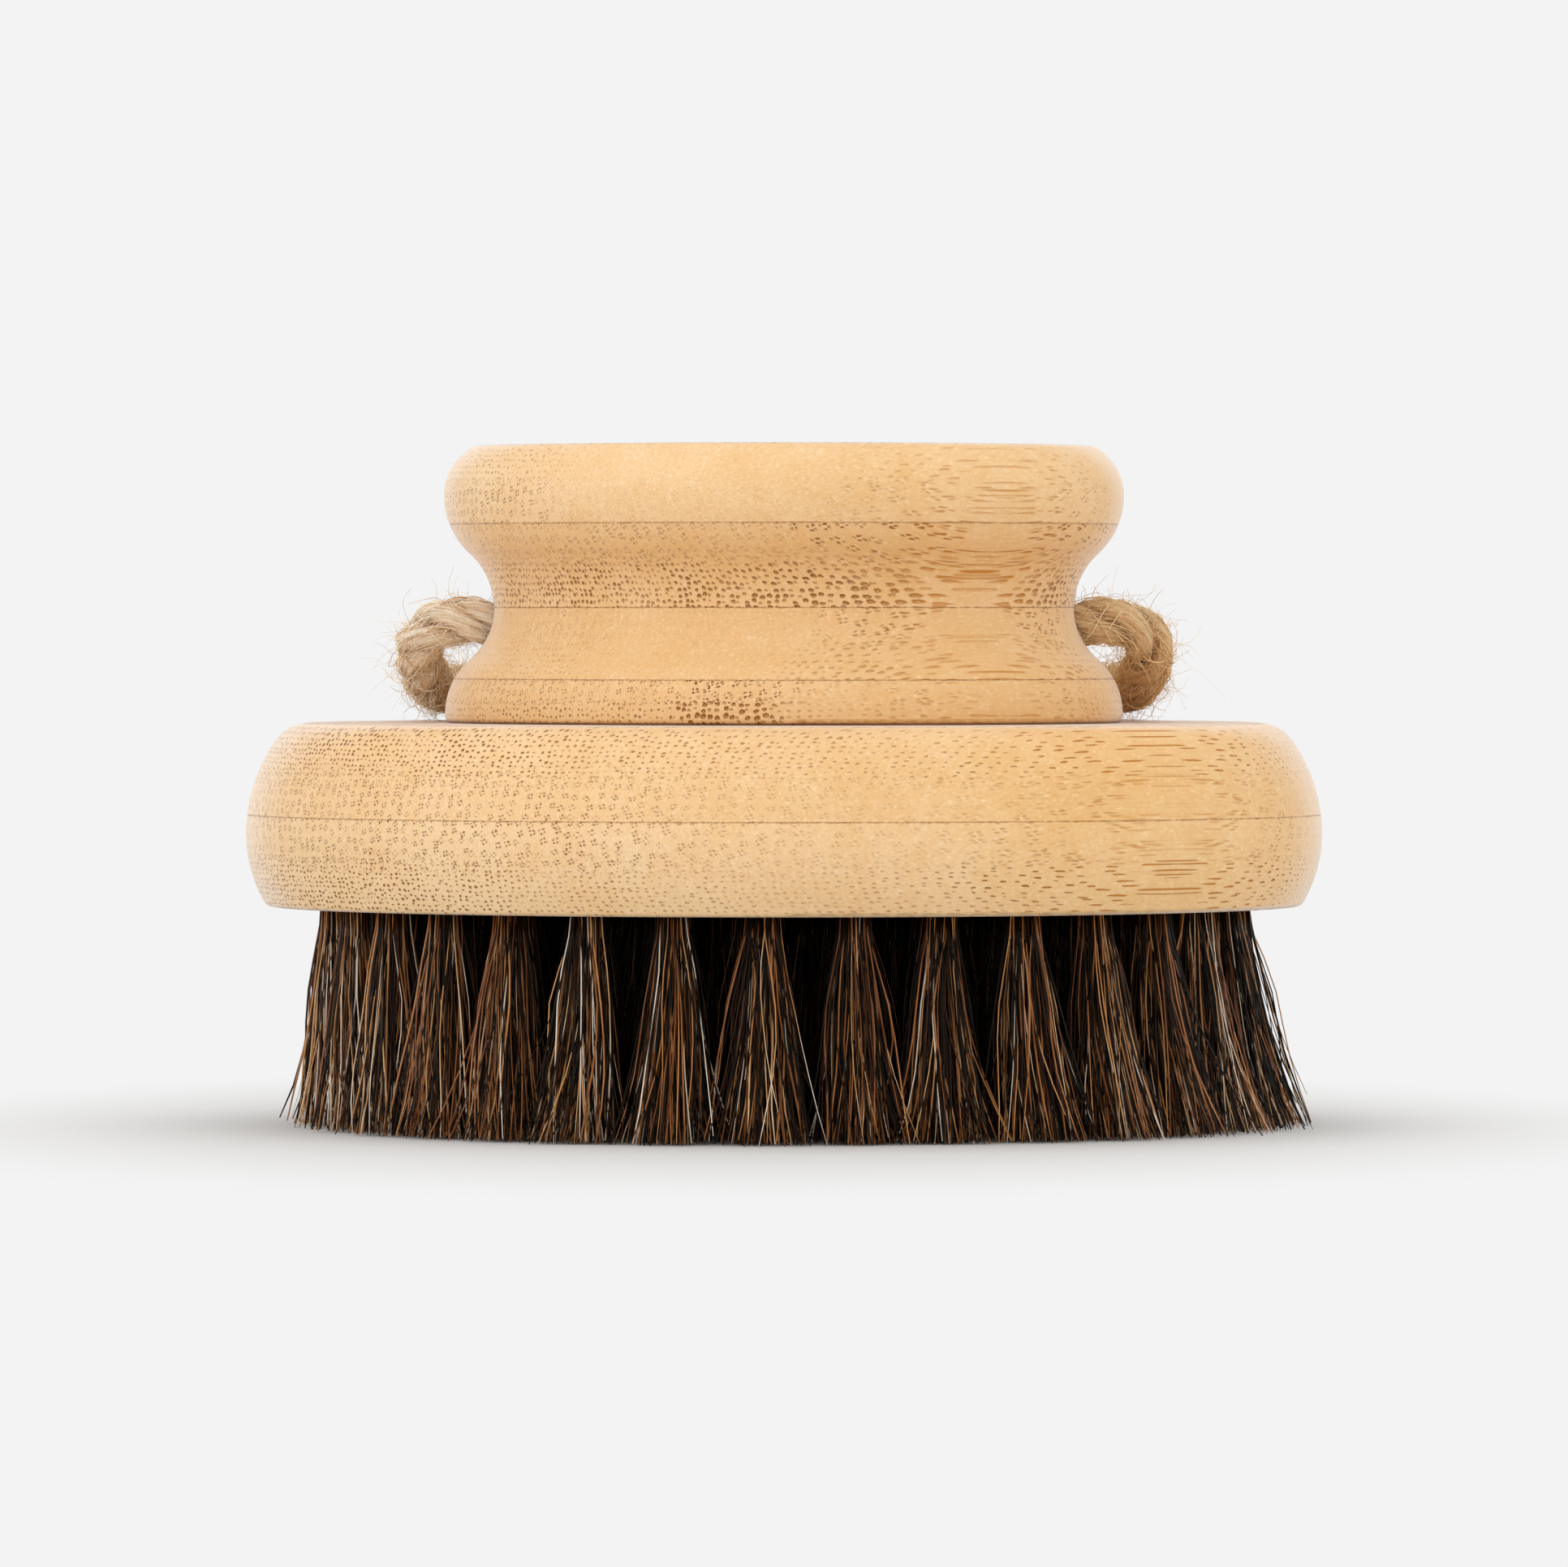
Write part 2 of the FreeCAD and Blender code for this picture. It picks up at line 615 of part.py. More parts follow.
def make_anchor_ring(ring):
    """The flat wire anchors of one ring, on edge across their holes and pressed into the lower ply."""
    count = RING_COUNTS[ring]
    label = "anchor_centre" if count == 1 else f"anchors_ring_{ring + 1}"
    body = new_body(label)
    body.Label = label
    body.AllowCompound = True
    turn_to_ring_angle(body, ring)
    sketch = new_sketch(body, f"{label}_sketch", "XY_Plane", ANCHOR_LOW)
    radius = "0" if count == 1 else ring_radius_expression(ring)
    rectangle_at(sketch, radius, ring_radius(ring), "anchor_thick", "anchor_length")
    wire = extrude(body, "Pad", sketch, f"{label}_wire", cell("anchor_width"))
    if count > 1:
        polar(body, wire, sketch, f"{label}_pattern", count)
    doc.recompute()


# ---------------------------------------------------------------- the cord

STRAIGHT_PAST_WAIST = 1.1
RESTING_GAP = 0.05
KNOT_HALF_SIZES = (8.0, 6.6, 4.95)
KNOT_BACK = 44.2
TAIL_LENGTH = 15.0
TAIL_SPREAD_DEG = 24.0
TAIL_DROP_DEG = 10.0

# Poles of the right leg's curve after the hole's mouth: sideways and backwards from the brush's axis,
# and up from where the cord's centre line would lie flat on the deck. The leg leaves the hole sideways,
# bends back past the foot, hangs stiffly just over the deck round the knob and ends in the knot.
LEG_POLES = [
    (31.0, 0.0, 6.9),
    (33.8, 1.9, 5.5),
    (34.6, 5.2, 3.1),
    (34.35, 11.5, 1.6),
    (34.1, 20.0, 1.3),
    (31.0, 29.0, 1.2),
    (21.5, 35.5, 1.2),
    (11.0, 37.0, 1.4),
    (4.2, 39.5, 2.0),
    (1.2, 43.5, 2.7),
]


def leg_edge(side, mouth, resting_level):
    """The centre line of one leg of the loop, from the hole's mouth into the knot. side is +1 or -1."""
    poles = [mouth]
    poles += [Vector(side * x, y, resting_level + up) for x, y, up in LEG_POLES]
    curve = Part.BSplineCurve()
    curve.buildFromPoles(poles, False, 3)
    return curve.toShape()


def make_cord_rope():
    """The rope itself: straight through its hole, with a leg down each side of the knob."""
    deck = dim("bristle_length") + dim("head_thickness")
    level = deck + dim("cord_hole_height")
    resting_level = deck + dim("cord_radius") + RESTING_GAP
    reach = dim("waist_radius") + STRAIGHT_PAST_WAIST
    right, left = Vector(reach, 0, level), Vector(-reach, 0, level)
    right_leg = leg_edge(1, right, resting_level)
    left_leg = leg_edge(-1, left, resting_level)
    path = Part.Wire(Part.sortEdges([left_leg, Part.makeLine(left, right), right_leg])[0])
    start = path.OrderedEdges[0]
    reversed_start = start.Orientation == "Reversed"
    parameter = start.LastParameter if reversed_start else start.FirstParameter
    circle = Part.makeCircle(dim("cord_radius"), start.valueAt(parameter), start.tangentAt(parameter))
    rope = doc.addObject("Part::Feature", "cord_rope")
    rope.Shape = path.makePipeShell([Part.Wire(circle)], True, False)
    return rope


def make_cord():
    """The hanging cord: its rope, the knot that closes the loop behind the knob, and two tails."""
    rope = make_cord_rope()
    knot = doc.addObject("Part::Ellipsoid", "cord_knot")
    knot.Radius2, knot.Radius3, knot.Radius1 = KNOT_HALF_SIZES
    knot_level = f"{DECK} + {KNOT_HALF_SIZES[2]} + {2 * RESTING_GAP}"
    knot.Placement = Placement(Vector(0, KNOT_BACK, 0), Rotation())
    knot.setExpression("Placement.Base.z", knot_level)
    pieces = [rope, knot]
    for side in (-1, 1):
        spread, drop = math.radians(TAIL_SPREAD_DEG), math.radians(TAIL_DROP_DEG)
        direction = Vector(side * math.sin(spread), math.cos(spread), -math.sin(drop))
        tail = doc.addObject("Part::Cylinder", "cord_tail")
        tail.setExpression("Radius", cell("cord_radius"))
        tail.Height = TAIL_LENGTH
        tail.Placement = Placement(Vector(0, KNOT_BACK, 0), Rotation(Vector(0, 0, 1), direction))
        tail.setExpression("Placement.Base.z", knot_level)
        pieces.append(tail)
    cord = doc.addObject("Part::MultiFuse", "hanging_cord")
    cord.Shapes = pieces
    cord.Refine = True
    cord.Label = "hanging_cord"


# ---------------------------------------------------------------- check and write


def check_document():
    """Stops if any object failed to compute: recompute() doesn't say so."""
    for obj in doc.Objects:
        bad = [state for state in obj.State if state in ("Invalid", "Error")]
        if bad:
            raise RuntimeError(f"{obj.Name} is {bad}")


def sub_parts():
    """Label to object, for every piece of the brush."""
    plies = ["head_lower_ply", "head_upper_ply", "knob_foot_ply", "knob_waist_ply"]
    plies += ["knob_grip_ply", "knob_top_ply"]
    rings = [k + 1 for k, count in enumerate(RING_COUNTS) if count > 1]
    labels = [*plies, "knob_dowels", "tuft_centre", "anchor_centre", "hanging_cord"]
    labels += [f"tufts_ring_{k}" for k in rings] + [f"anchors_ring_{k}" for k in rings]
    return {label: doc.getObjectsByLabel(label)[0] for label in labels}


def expected_solids(label):
    if "ring_" in label:
        return RING_COUNTS[int(label.rsplit("_", 1)[1]) - 1]
    return 2 if label == "knob_dowels" else 1


def write_parts():
    os.makedirs("parts", exist_ok=True)
    pieces = sub_parts()
    for label, obj in pieces.items():
        shape = obj.Shape
        if shape.isNull() or not shape.isValid() or shape.Volume <= 0:
            raise RuntimeError(f"{label} has no valid shape")
        if len(shape.Solids) != expected_solids(label):
            raise RuntimeError(f"{label} has {len(shape.Solids)} solids")
    for label, obj in pieces.items():
        obj.Shape.exportStep(f"parts/{label}.step")
        print(f"{label}: {len(obj.Shape.Solids)} solids, {obj.Shape.Volume:.1f} mm3")


doc = FreeCAD.newDocument(DOCUMENT)
sheet = make_sheet()
make_head()
make_knob()
make_dowels()
for ring_number in range(len(RING_COUNTS)):
    make_tuft_ring(ring_number)
    make_anchor_ring(ring_number)
make_cord()
doc.recompute()
check_document()
write_parts()
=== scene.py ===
import json
import math

import bpy
import numpy as np
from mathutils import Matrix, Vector


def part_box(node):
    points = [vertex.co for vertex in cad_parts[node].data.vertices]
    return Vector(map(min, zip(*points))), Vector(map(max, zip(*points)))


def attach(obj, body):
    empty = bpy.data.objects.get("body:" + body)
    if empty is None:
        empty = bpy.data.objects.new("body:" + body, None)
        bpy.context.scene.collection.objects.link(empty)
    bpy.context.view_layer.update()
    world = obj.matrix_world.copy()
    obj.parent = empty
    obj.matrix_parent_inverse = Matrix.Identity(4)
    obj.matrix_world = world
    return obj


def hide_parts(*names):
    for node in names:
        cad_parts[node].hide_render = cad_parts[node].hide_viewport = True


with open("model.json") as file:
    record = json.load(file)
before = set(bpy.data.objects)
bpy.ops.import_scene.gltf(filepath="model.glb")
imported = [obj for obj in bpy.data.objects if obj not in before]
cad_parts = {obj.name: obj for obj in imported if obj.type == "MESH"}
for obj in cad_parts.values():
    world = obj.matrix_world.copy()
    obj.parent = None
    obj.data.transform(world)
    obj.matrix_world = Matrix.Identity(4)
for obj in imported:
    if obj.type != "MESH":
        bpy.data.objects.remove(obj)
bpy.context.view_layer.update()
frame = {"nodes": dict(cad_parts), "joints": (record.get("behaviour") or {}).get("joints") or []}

# Looks for a round bamboo dry brush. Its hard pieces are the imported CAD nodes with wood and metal
# materials. Its soft pieces, the horsehair tufts and the jute cord, are built here hair by hair
# and strand by strand.
# Lengths in this file are millimetres until they become vertices, which are metres.

MM = 0.001
HAIR_SEED = 7
CORD_SEED = 12

# ---------------------------------------------------------------- places read from the frame


def level_of(node, end):
    """Height in millimetres of a CAD node's lower (end 0) or upper (end 1) face."""
    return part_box(node)[end].z / MM


UNDERSIDE = level_of("head_lower_ply", 0)
DECK = level_of("head_upper_ply", 1)
CORD_JOINT = next(j for j in frame["joints"] if j["name"] == "cord_swing")
BORE_LEVEL = CORD_JOINT["pos_m"][2] / MM
HEAD_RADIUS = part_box("head_lower_ply")[1].x / MM

# ---------------------------------------------------------------- node materials


class Shader:
    """A node material in the making. Its methods add nodes and return their output sockets."""

    def __init__(self, name):
        self.material = bpy.data.materials.new(name)
        self.material.use_nodes = True
        self.tree = self.material.node_tree
        self.tree.nodes.clear()

    def add(self, kind, **settings):
        node = self.tree.nodes.new(kind)
        for key, value in settings.items():
            setattr(node, key, value)
        return node

    def put(self, socket, value):
        """Links an output socket to an input, or sets the input's own value."""
        if isinstance(value, bpy.types.NodeSocket):
            self.tree.links.new(value, socket)
        else:
            socket.default_value = value

    def math(self, operation, *values):
        node = self.add("ShaderNodeMath", operation=operation)
        for socket, value in zip(node.inputs, values):
            self.put(socket, value)
        return node.outputs[0]

    def plus(self, first, second):
        return self.math("ADD", first, second)

    def minus(self, first, second):
        return self.math("SUBTRACT", first, second)

    def times(self, first, second):
        return self.math("MULTIPLY", first, second)

    def scaled(self, value, factor, offset):
        """value times factor, plus offset."""
        return self.math("MULTIPLY_ADD", value, factor, offset)

    def cosine(self, angle):
        return self.math("COSINE", angle)

    def varied(self, tone, noise, amount):
        """A tone moved up and down by a noise, whose middle is 0.5."""
        return self.scaled(self.minus(noise, 0.5), amount, tone)

    def combine(self, x, y, z):
        node = self.add("ShaderNodeCombineXYZ")
        for socket, value in zip(node.inputs, (x, y, z)):
            self.put(socket, value)
        return node.outputs[0]

    def fade(self, value, start, end, low=0.0, high=1.0):
        """Smoothly low at start and high at end."""
        node = self.add("ShaderNodeMapRange", interpolation_type="SMOOTHSTEP")
        names = ("Value", "From Min", "From Max", "To Min", "To Max")
        for name, part in zip(names, (value, start, end, low, high)):
            self.put(node.inputs[name], part)
        return node.outputs["Result"]

    def noise(self, vector, scale, detail, roughness=0.5):
        """Blender's fractal noise, from about 0 to 1."""
        node = self.add("ShaderNodeTexNoise")
        self.put(node.inputs["Vector"], vector)
        self.put(node.inputs["Scale"], scale)
        self.put(node.inputs["Detail"], detail)
        self.put(node.inputs["Roughness"], roughness)
        return node.outputs["Fac"]

    def mix(self, share, first, second, blend="MIX"):
        node = self.add("ShaderNodeMix", data_type="RGBA", blend_type=blend)
        colours = [s for s in node.inputs if s.type == "RGBA"]
        self.put(node.inputs["Factor"], share)
        for socket, value in zip(colours, (first, second)):
            self.put(socket, value if isinstance(value, bpy.types.NodeSocket) else (*value, 1.0))
        return next(s for s in node.outputs if s.type == "RGBA")

    def ramp(self, value, stops):
        """A colour ramp. stops holds (position, colour) pairs."""
        node = self.add("ShaderNodeValToRGB")
        ramp = node.color_ramp
        while len(ramp.elements) < len(stops):
            ramp.elements.new(1.0)
        for element, (position, colour) in zip(ramp.elements, stops):
            element.position = position
            element.color = (*colour, 1.0)
        self.put(node.inputs["Fac"], value)
        return node.outputs["Color"]

    def object_mm(self):
        """x, y and z in the shared frame, in millimetres."""
        place = self.add("ShaderNodeTexCoord").outputs["Object"]
        scaled = self.add("ShaderNodeVectorMath", operation="SCALE")
        self.put(scaled.inputs[0], place)
        self.put(scaled.inputs["Scale"], 1 / MM)
        parts = self.add("ShaderNodeSeparateXYZ")
        self.put(parts.inputs[0], scaled.outputs[0])
        return parts.outputs["X"], parts.outputs["Y"], parts.outputs["Z"]

    def attribute(self, name, output="Fac"):
        """A value stored with the mesh's vertices."""
        return self.add("ShaderNodeAttribute", attribute_name=name).outputs[output]

    def finish(self, colour, roughness, height, bump_mm, **inputs):
        """The surface with its bump, and the output. Returns the material."""
        surface = self.add("ShaderNodeBsdfPrincipled")
        self.put(surface.inputs["Base Color"], colour)
        self.put(surface.inputs["Roughness"], roughness)
        for name, value in inputs.items():
            self.put(surface.inputs[name.replace("_", " ")], value)
        bump = self.add("ShaderNodeBump")
        self.put(bump.inputs["Height"], height)
        self.put(bump.inputs["Distance"], bump_mm * MM)
        self.put(surface.inputs["Normal"], bump.outputs["Normal"])
        output = self.add("ShaderNodeOutputMaterial")
        self.put(output.inputs["Surface"], surface.outputs[0])
        return self.material


# ---------------------------------------------------------------- bamboo

# Colours are linear red, green and blue.
PALE_HONEY = (0.81, 0.570, 0.325)
HONEY = (0.755, 0.480, 0.222)
DEEP_HONEY = (0.70, 0.405, 0.150)
PALE_FLECK = (0.93, 0.73, 0.47)
# painted reflection: pale colour mixed into the bamboo's edges at grazing angles, standing for the
# white surroundings
PAINTED_RIM_REFLECTION = (0.94, 0.80, 0.68)
# painted warm light: multiplies the bamboo's colour on its right side, warmer and less blue there
PAINTED_WARM_LIGHT = (1.03, 0.985, 0.86)
PORE_BROWN = (0.26, 0.083, 0.011)
STREAK_BROWN = (0.53, 0.205, 0.028)
# brown of the glue lines, also used for the painted contact shadow under the foot
GLUE_AND_SHADOW_BROWN = (0.22, 0.10, 0.04)
GLUE_LINE_HALF = 0.05
GLUE_FADE = 2.2  # a glue line has faded out at this many times its half width
FOOT_CONTACT_SHADOW = 0.33  # height at which the painted contact shadow under the foot has faded out

ACROSS_LIMIT = 52.0  # the zones' places run from minus this to plus this
ZONE_SCALE = 2.0  # zone values are divided by this to fit a colour ramp's range of 0 to 1
CELL_BEND = 0.30  # how far the cells are pushed out of line, as a share of a cell
CELL_UNEVEN = 0.55  # 0 would be a plain grid of cells and 1 wholly random ones
PORE_SIZE = (0.215, 0.16)  # a close bundle's smallest radius in its cell, and what chance adds
PORE_LOW = 0.12  # a pore's paler core lies this far below its middle, partly the bundle's own colour and partly painted light in the pit
RING_RADIUS = 0.205
RING_HALF = 0.135
RINGED_SEED_STEP = 11  # keeps the ringed bundles' cells apart from the close ones' cells


class Ply:
    """How one bamboo ply looks.

    turn_deg: direction of its fibres from +X.
    dense_up: whether its upper face was the culm's outside.
    dense_pitch and ring_pitch: spacing of the small close bundles and of the wide ringed ones,
    across the fibres and up.
    tint: its tone, from pale at 0 to deep at 1.
    zones: place across the fibres, strength of the close bundles and of the ringed ones there,
    and size of the close ones."""

    def __init__(self, node, turn_deg, dense_up, dense_pitch, ring_pitch, tint, zones):
        self.node = node
        self.turn = math.radians(turn_deg)
        self.dense_up = dense_up
        self.dense_pitch = dense_pitch
        self.ring_pitch = ring_pitch
        self.tint = tint
        self.zones = zones


KNOB_TURN = 40.0
HEAD_TURN = 45.5
PLIES = [
    Ply(
        "knob_top_ply", KNOB_TURN, True, (0.62, 0.55), (1.0, 0.95), 0.30,
        [(-52, 0.6, 0.65, 0.7), (0, 0.6, 0.7, 0.75), (8, 0.15, 0.18, 0.5), (26, 0.12, 0.12, 0.5),
         (29, 0.4, 0.4, 0.6), (31, 0.6, 0.65, 0.8)],
    ),
    Ply(
        "knob_grip_ply", KNOB_TURN, False, (0.50, 0.58), (0.95, 1.05), 0.45,
        [(-52, 0.95, 0.5, 0.95), (12, 1.0, 0.5, 1.1), (23.9, 1.0, 0.35, 1.15),
         (24.4, 0.9, 0.8, 1.2), (31, 1.15, 1.1, 1.25)],
    ),
    Ply(
        "knob_waist_ply", KNOB_TURN, False, (0.60, 0.55), (0.95, 1.0), 0.55,
        [(-52, 0.5, 0.35, 0.7), (4, 0.45, 0.3, 0.7), (9, 0.15, 0.12, 0.5), (22, 0.15, 0.12, 0.6),
         (23.5, 0.45, 0.45, 0.75), (31, 0.95, 1.0, 1.0)],
    ),
    Ply(
        "knob_foot_ply", KNOB_TURN, False, (0.52, 0.60), (0.95, 0.95), 0.52,
        [(-52, 0.85, 0.55, 0.75), (16.3, 0.85, 0.6, 0.8), (16.8, 1.1, 1.0, 1.3),
         (22.5, 1.1, 1.0, 1.25), (26, 0.35, 0.35, 0.75), (31, 0.55, 0.5, 0.8)],
    ),
    Ply(
        "head_upper_ply", HEAD_TURN, True, (0.66, 0.46), (1.15, 0.88), 0.37,
        [(-52, 1.4, 0.6, 0.88), (0, 1.25, 0.72, 0.88), (20, 0.85, 0.6, 0.8), (34, 0.6, 0.3, 0.7),
         (43, 0.75, 0.2, 0.62), (48.8, 1.5, 0.5, 0.66)],
    ),
    Ply(
        "head_lower_ply", HEAD_TURN, False, (0.66, 0.45), (1.15, 0.92), 0.22,
        [(-52, 1.4, 0.65, 0.9), (0, 1.25, 0.78, 0.86), (20, 0.7, 0.7, 0.76), (36, 0.5, 0.3, 0.7),
         (43, 0.7, 0.2, 0.62), (48.8, 1.5, 0.5, 0.68)],
    ),
]


def bundle_cells(shader, across, up, pitch, seed):
    """Uneven cells over the end grain, one to a bundle.

    Returns the sideways and upward offset from the cell's middle, and the cell's own chance."""
    place = shader.combine(
        shader.scaled(across, 1 / pitch[0], seed * 7.3),
        shader.scaled(up, 1 / pitch[1], seed * 3.1),
        0.0,
    )
    bend = shader.add("ShaderNodeTexNoise", noise_dimensions="2D")
    shader.put(bend.inputs["Vector"], place)
    shader.put(bend.inputs["Scale"], 1.9)
    shader.put(bend.inputs["Detail"], 1.0)
    shift = shader.add("ShaderNodeVectorMath", operation="MULTIPLY_ADD")
    shader.put(shift.inputs[0], bend.outputs["Color"])
    shader.put(shift.inputs[1], (CELL_BEND, CELL_BEND, 0.0))
    shader.put(shift.inputs[2], place)
    cells = shader.add("ShaderNodeTexVoronoi", voronoi_dimensions="2D", feature="F1")
    shader.put(cells.inputs["Vector"], shift.outputs[0])
    shader.put(cells.inputs["Scale"], 1.0)
    shader.put(cells.inputs["Randomness"], CELL_UNEVEN)
    offset = shader.add("ShaderNodeVectorMath", operation="SUBTRACT")
    shader.put(offset.inputs[0], shift.outputs[0])
    shader.put(offset.inputs[1], cells.outputs["Position"])
    parts = shader.add("ShaderNodeSeparateXYZ")
    shader.put(parts.inputs[0], offset.outputs[0])
    chance = shader.add("ShaderNodeSeparateColor")
    shader.put(chance.inputs[0], cells.outputs["Color"])
    return parts.outputs["X"], parts.outputs["Y"], chance.outputs[0]


def length_2d(shader, x, y):
    return shader.math("SQRT", shader.plus(shader.times(x, x), shader.times(y, y)))


def close_bundles(shader, across, up, ply, size, seed):
    """Small close bundles near the culm's outside: pores, darkest along their upper edges and paler
    in a low core, partly their own colour and partly painted shade and light in the pit.
    """
    x, y, chance = bundle_cells(shader, across, up, ply.dense_pitch, seed)
    smallest, added = PORE_SIZE
    radius = shader.times(size, shader.scaled(chance, added, smallest))
    pore = shader.fade(length_2d(shader, x, y), radius, shader.times(radius, 0.55))
    # Partly painted light and shade: a paler core low in the pore under a darker upper edge.
    low = shader.plus(y, PORE_LOW)
    core = shader.fade(length_2d(shader, x, low), shader.times(radius, 0.8), 0.0)
    pore = shader.times(pore, shader.scaled(core, -0.5, 1.0))
    return shader.times(pore, shader.fade(chance, 0.0, 0.6, low=0.55, high=1.0))


def ringed_bundles(shader, across, up, ply, seed):
    """Wide bundles toward the culm's inside: dots on a ring round a paler middle.

    The dots are strongest above and below the middle."""
    x, y, chance = bundle_cells(shader, across, up, ply.ring_pitch, seed)
    distance = length_2d(shader, x, y)
    off_ring = shader.math("ABSOLUTE", shader.minus(distance, RING_RADIUS))
    ring = shader.fade(off_ring, RING_HALF, RING_HALF * 0.25)
    angle = shader.math("ARCTAN2", y, x)
    lobes = shader.cosine(shader.scaled(angle, 4.0, shader.times(chance, 2.4)))
    upright = shader.cosine(shader.times(angle, 2.0))
    ring = shader.times(ring, shader.fade(lobes, -0.7, 0.6))
    ring = shader.times(ring, shader.scaled(upright, -0.25, 0.95))
    ring = shader.times(ring, shader.fade(chance, 0.0, 0.5, low=0.6, high=1.1))
    middle = shader.fade(distance, RING_RADIUS * 0.9, RING_RADIUS * 0.3)
    return ring, middle


def ply_zones(shader, ply, across):
    """Strength of the close and the ringed bundles and size of the close ones, at this place."""
    width = 2 * ACROSS_LIMIT
    place = shader.math("DIVIDE", shader.plus(across, ACROSS_LIMIT), width)
    stops = [
        ((at + ACROSS_LIMIT) / width, (dense / ZONE_SCALE, ringed / ZONE_SCALE, size / ZONE_SCALE))
        for at, dense, ringed, size in ply.zones
    ]
    parts = shader.add("ShaderNodeSeparateColor")
    shader.put(parts.inputs[0], shader.ramp(place, stops))
    return [shader.times(socket, ZONE_SCALE) for socket in parts.outputs]


def end_grain(shader, ply):
    """1 where the surface cuts straight across the fibres, 0 where it runs along them."""
    normal = shader.add("ShaderNodeNewGeometry").outputs["Normal"]
    turned = shader.add("ShaderNodeVectorMath", operation="DOT_PRODUCT")
    shader.put(turned.inputs[0], normal)
    shader.put(turned.inputs[1], (math.cos(ply.turn), math.sin(ply.turn), 0.0))
    return shader.math("ABSOLUTE", turned.outputs["Value"])


def ply_bundles(shader, ply, across, across_bent, up_bent, share, seed):
    """How much of each place a bundle covers, and how much of it is a ringed bundle's pale middle.

    share runs from 0 at the culm's inside to 1 at its outside."""
    dense_strength, ring_strength, size = ply_zones(shader, ply, across)
    patches = shader.noise(shader.combine(across_bent, up_bent, 0.0), scale=0.16, detail=2.0)
    patches = shader.fade(patches, 0.32, 0.56, low=0.78, high=1.08)

    dense_size = shader.times(size, shader.fade(share, 0.15, 0.8, low=0.66, high=1.05))
    close = close_bundles(shader, across_bent, up_bent, ply, dense_size, seed)
    close_gate = shader.fade(share, 0.25, 0.58, low=0.08, high=1.0)
    close = shader.times(close, shader.times(close_gate, dense_strength))

    rings, middles = ringed_bundles(shader, across_bent, up_bent, ply, seed + RINGED_SEED_STEP)
    ring_gate = shader.times(shader.fade(share, 0.66, 0.42), ring_strength)
    rings = shader.times(rings, ring_gate)
    bundles = shader.times(shader.math("MAXIMUM", close, rings), patches)
    return shader.math("MINIMUM", bundles, 1.0), shader.times(middles, ring_gate)


def glue_lines_and_foot_shadow(shader, ply, z, speckle, colour):
    """Draws the thin dark glue lines along a ply's two faces, and a painted contact shadow under
    the foot.
    """
    low, high = level_of(ply.node, 0), level_of(ply.node, 1)
    gap = shader.math("MINIMUM", shader.minus(z, low), shader.minus(high, z))
    amount = shader.fade(speckle, 0.35, 0.65, low=0.10, high=0.55)
    glue = shader.fade(gap, GLUE_LINE_HALF * GLUE_FADE, GLUE_LINE_HALF, 0.0, amount)
    colour = shader.mix(glue, colour, GLUE_AND_SHADOW_BROWN)
    if ply.node == "knob_foot_ply":
        # Painted shadow: a dark band where the foot sits on the deck.
        contact_shadow = shader.fade(z, low + FOOT_CONTACT_SHADOW, low + FOOT_CONTACT_SHADOW / 3, 0.0, 0.8)
        colour = shader.mix(contact_shadow, colour, GLUE_AND_SHADOW_BROWN)
    return colour


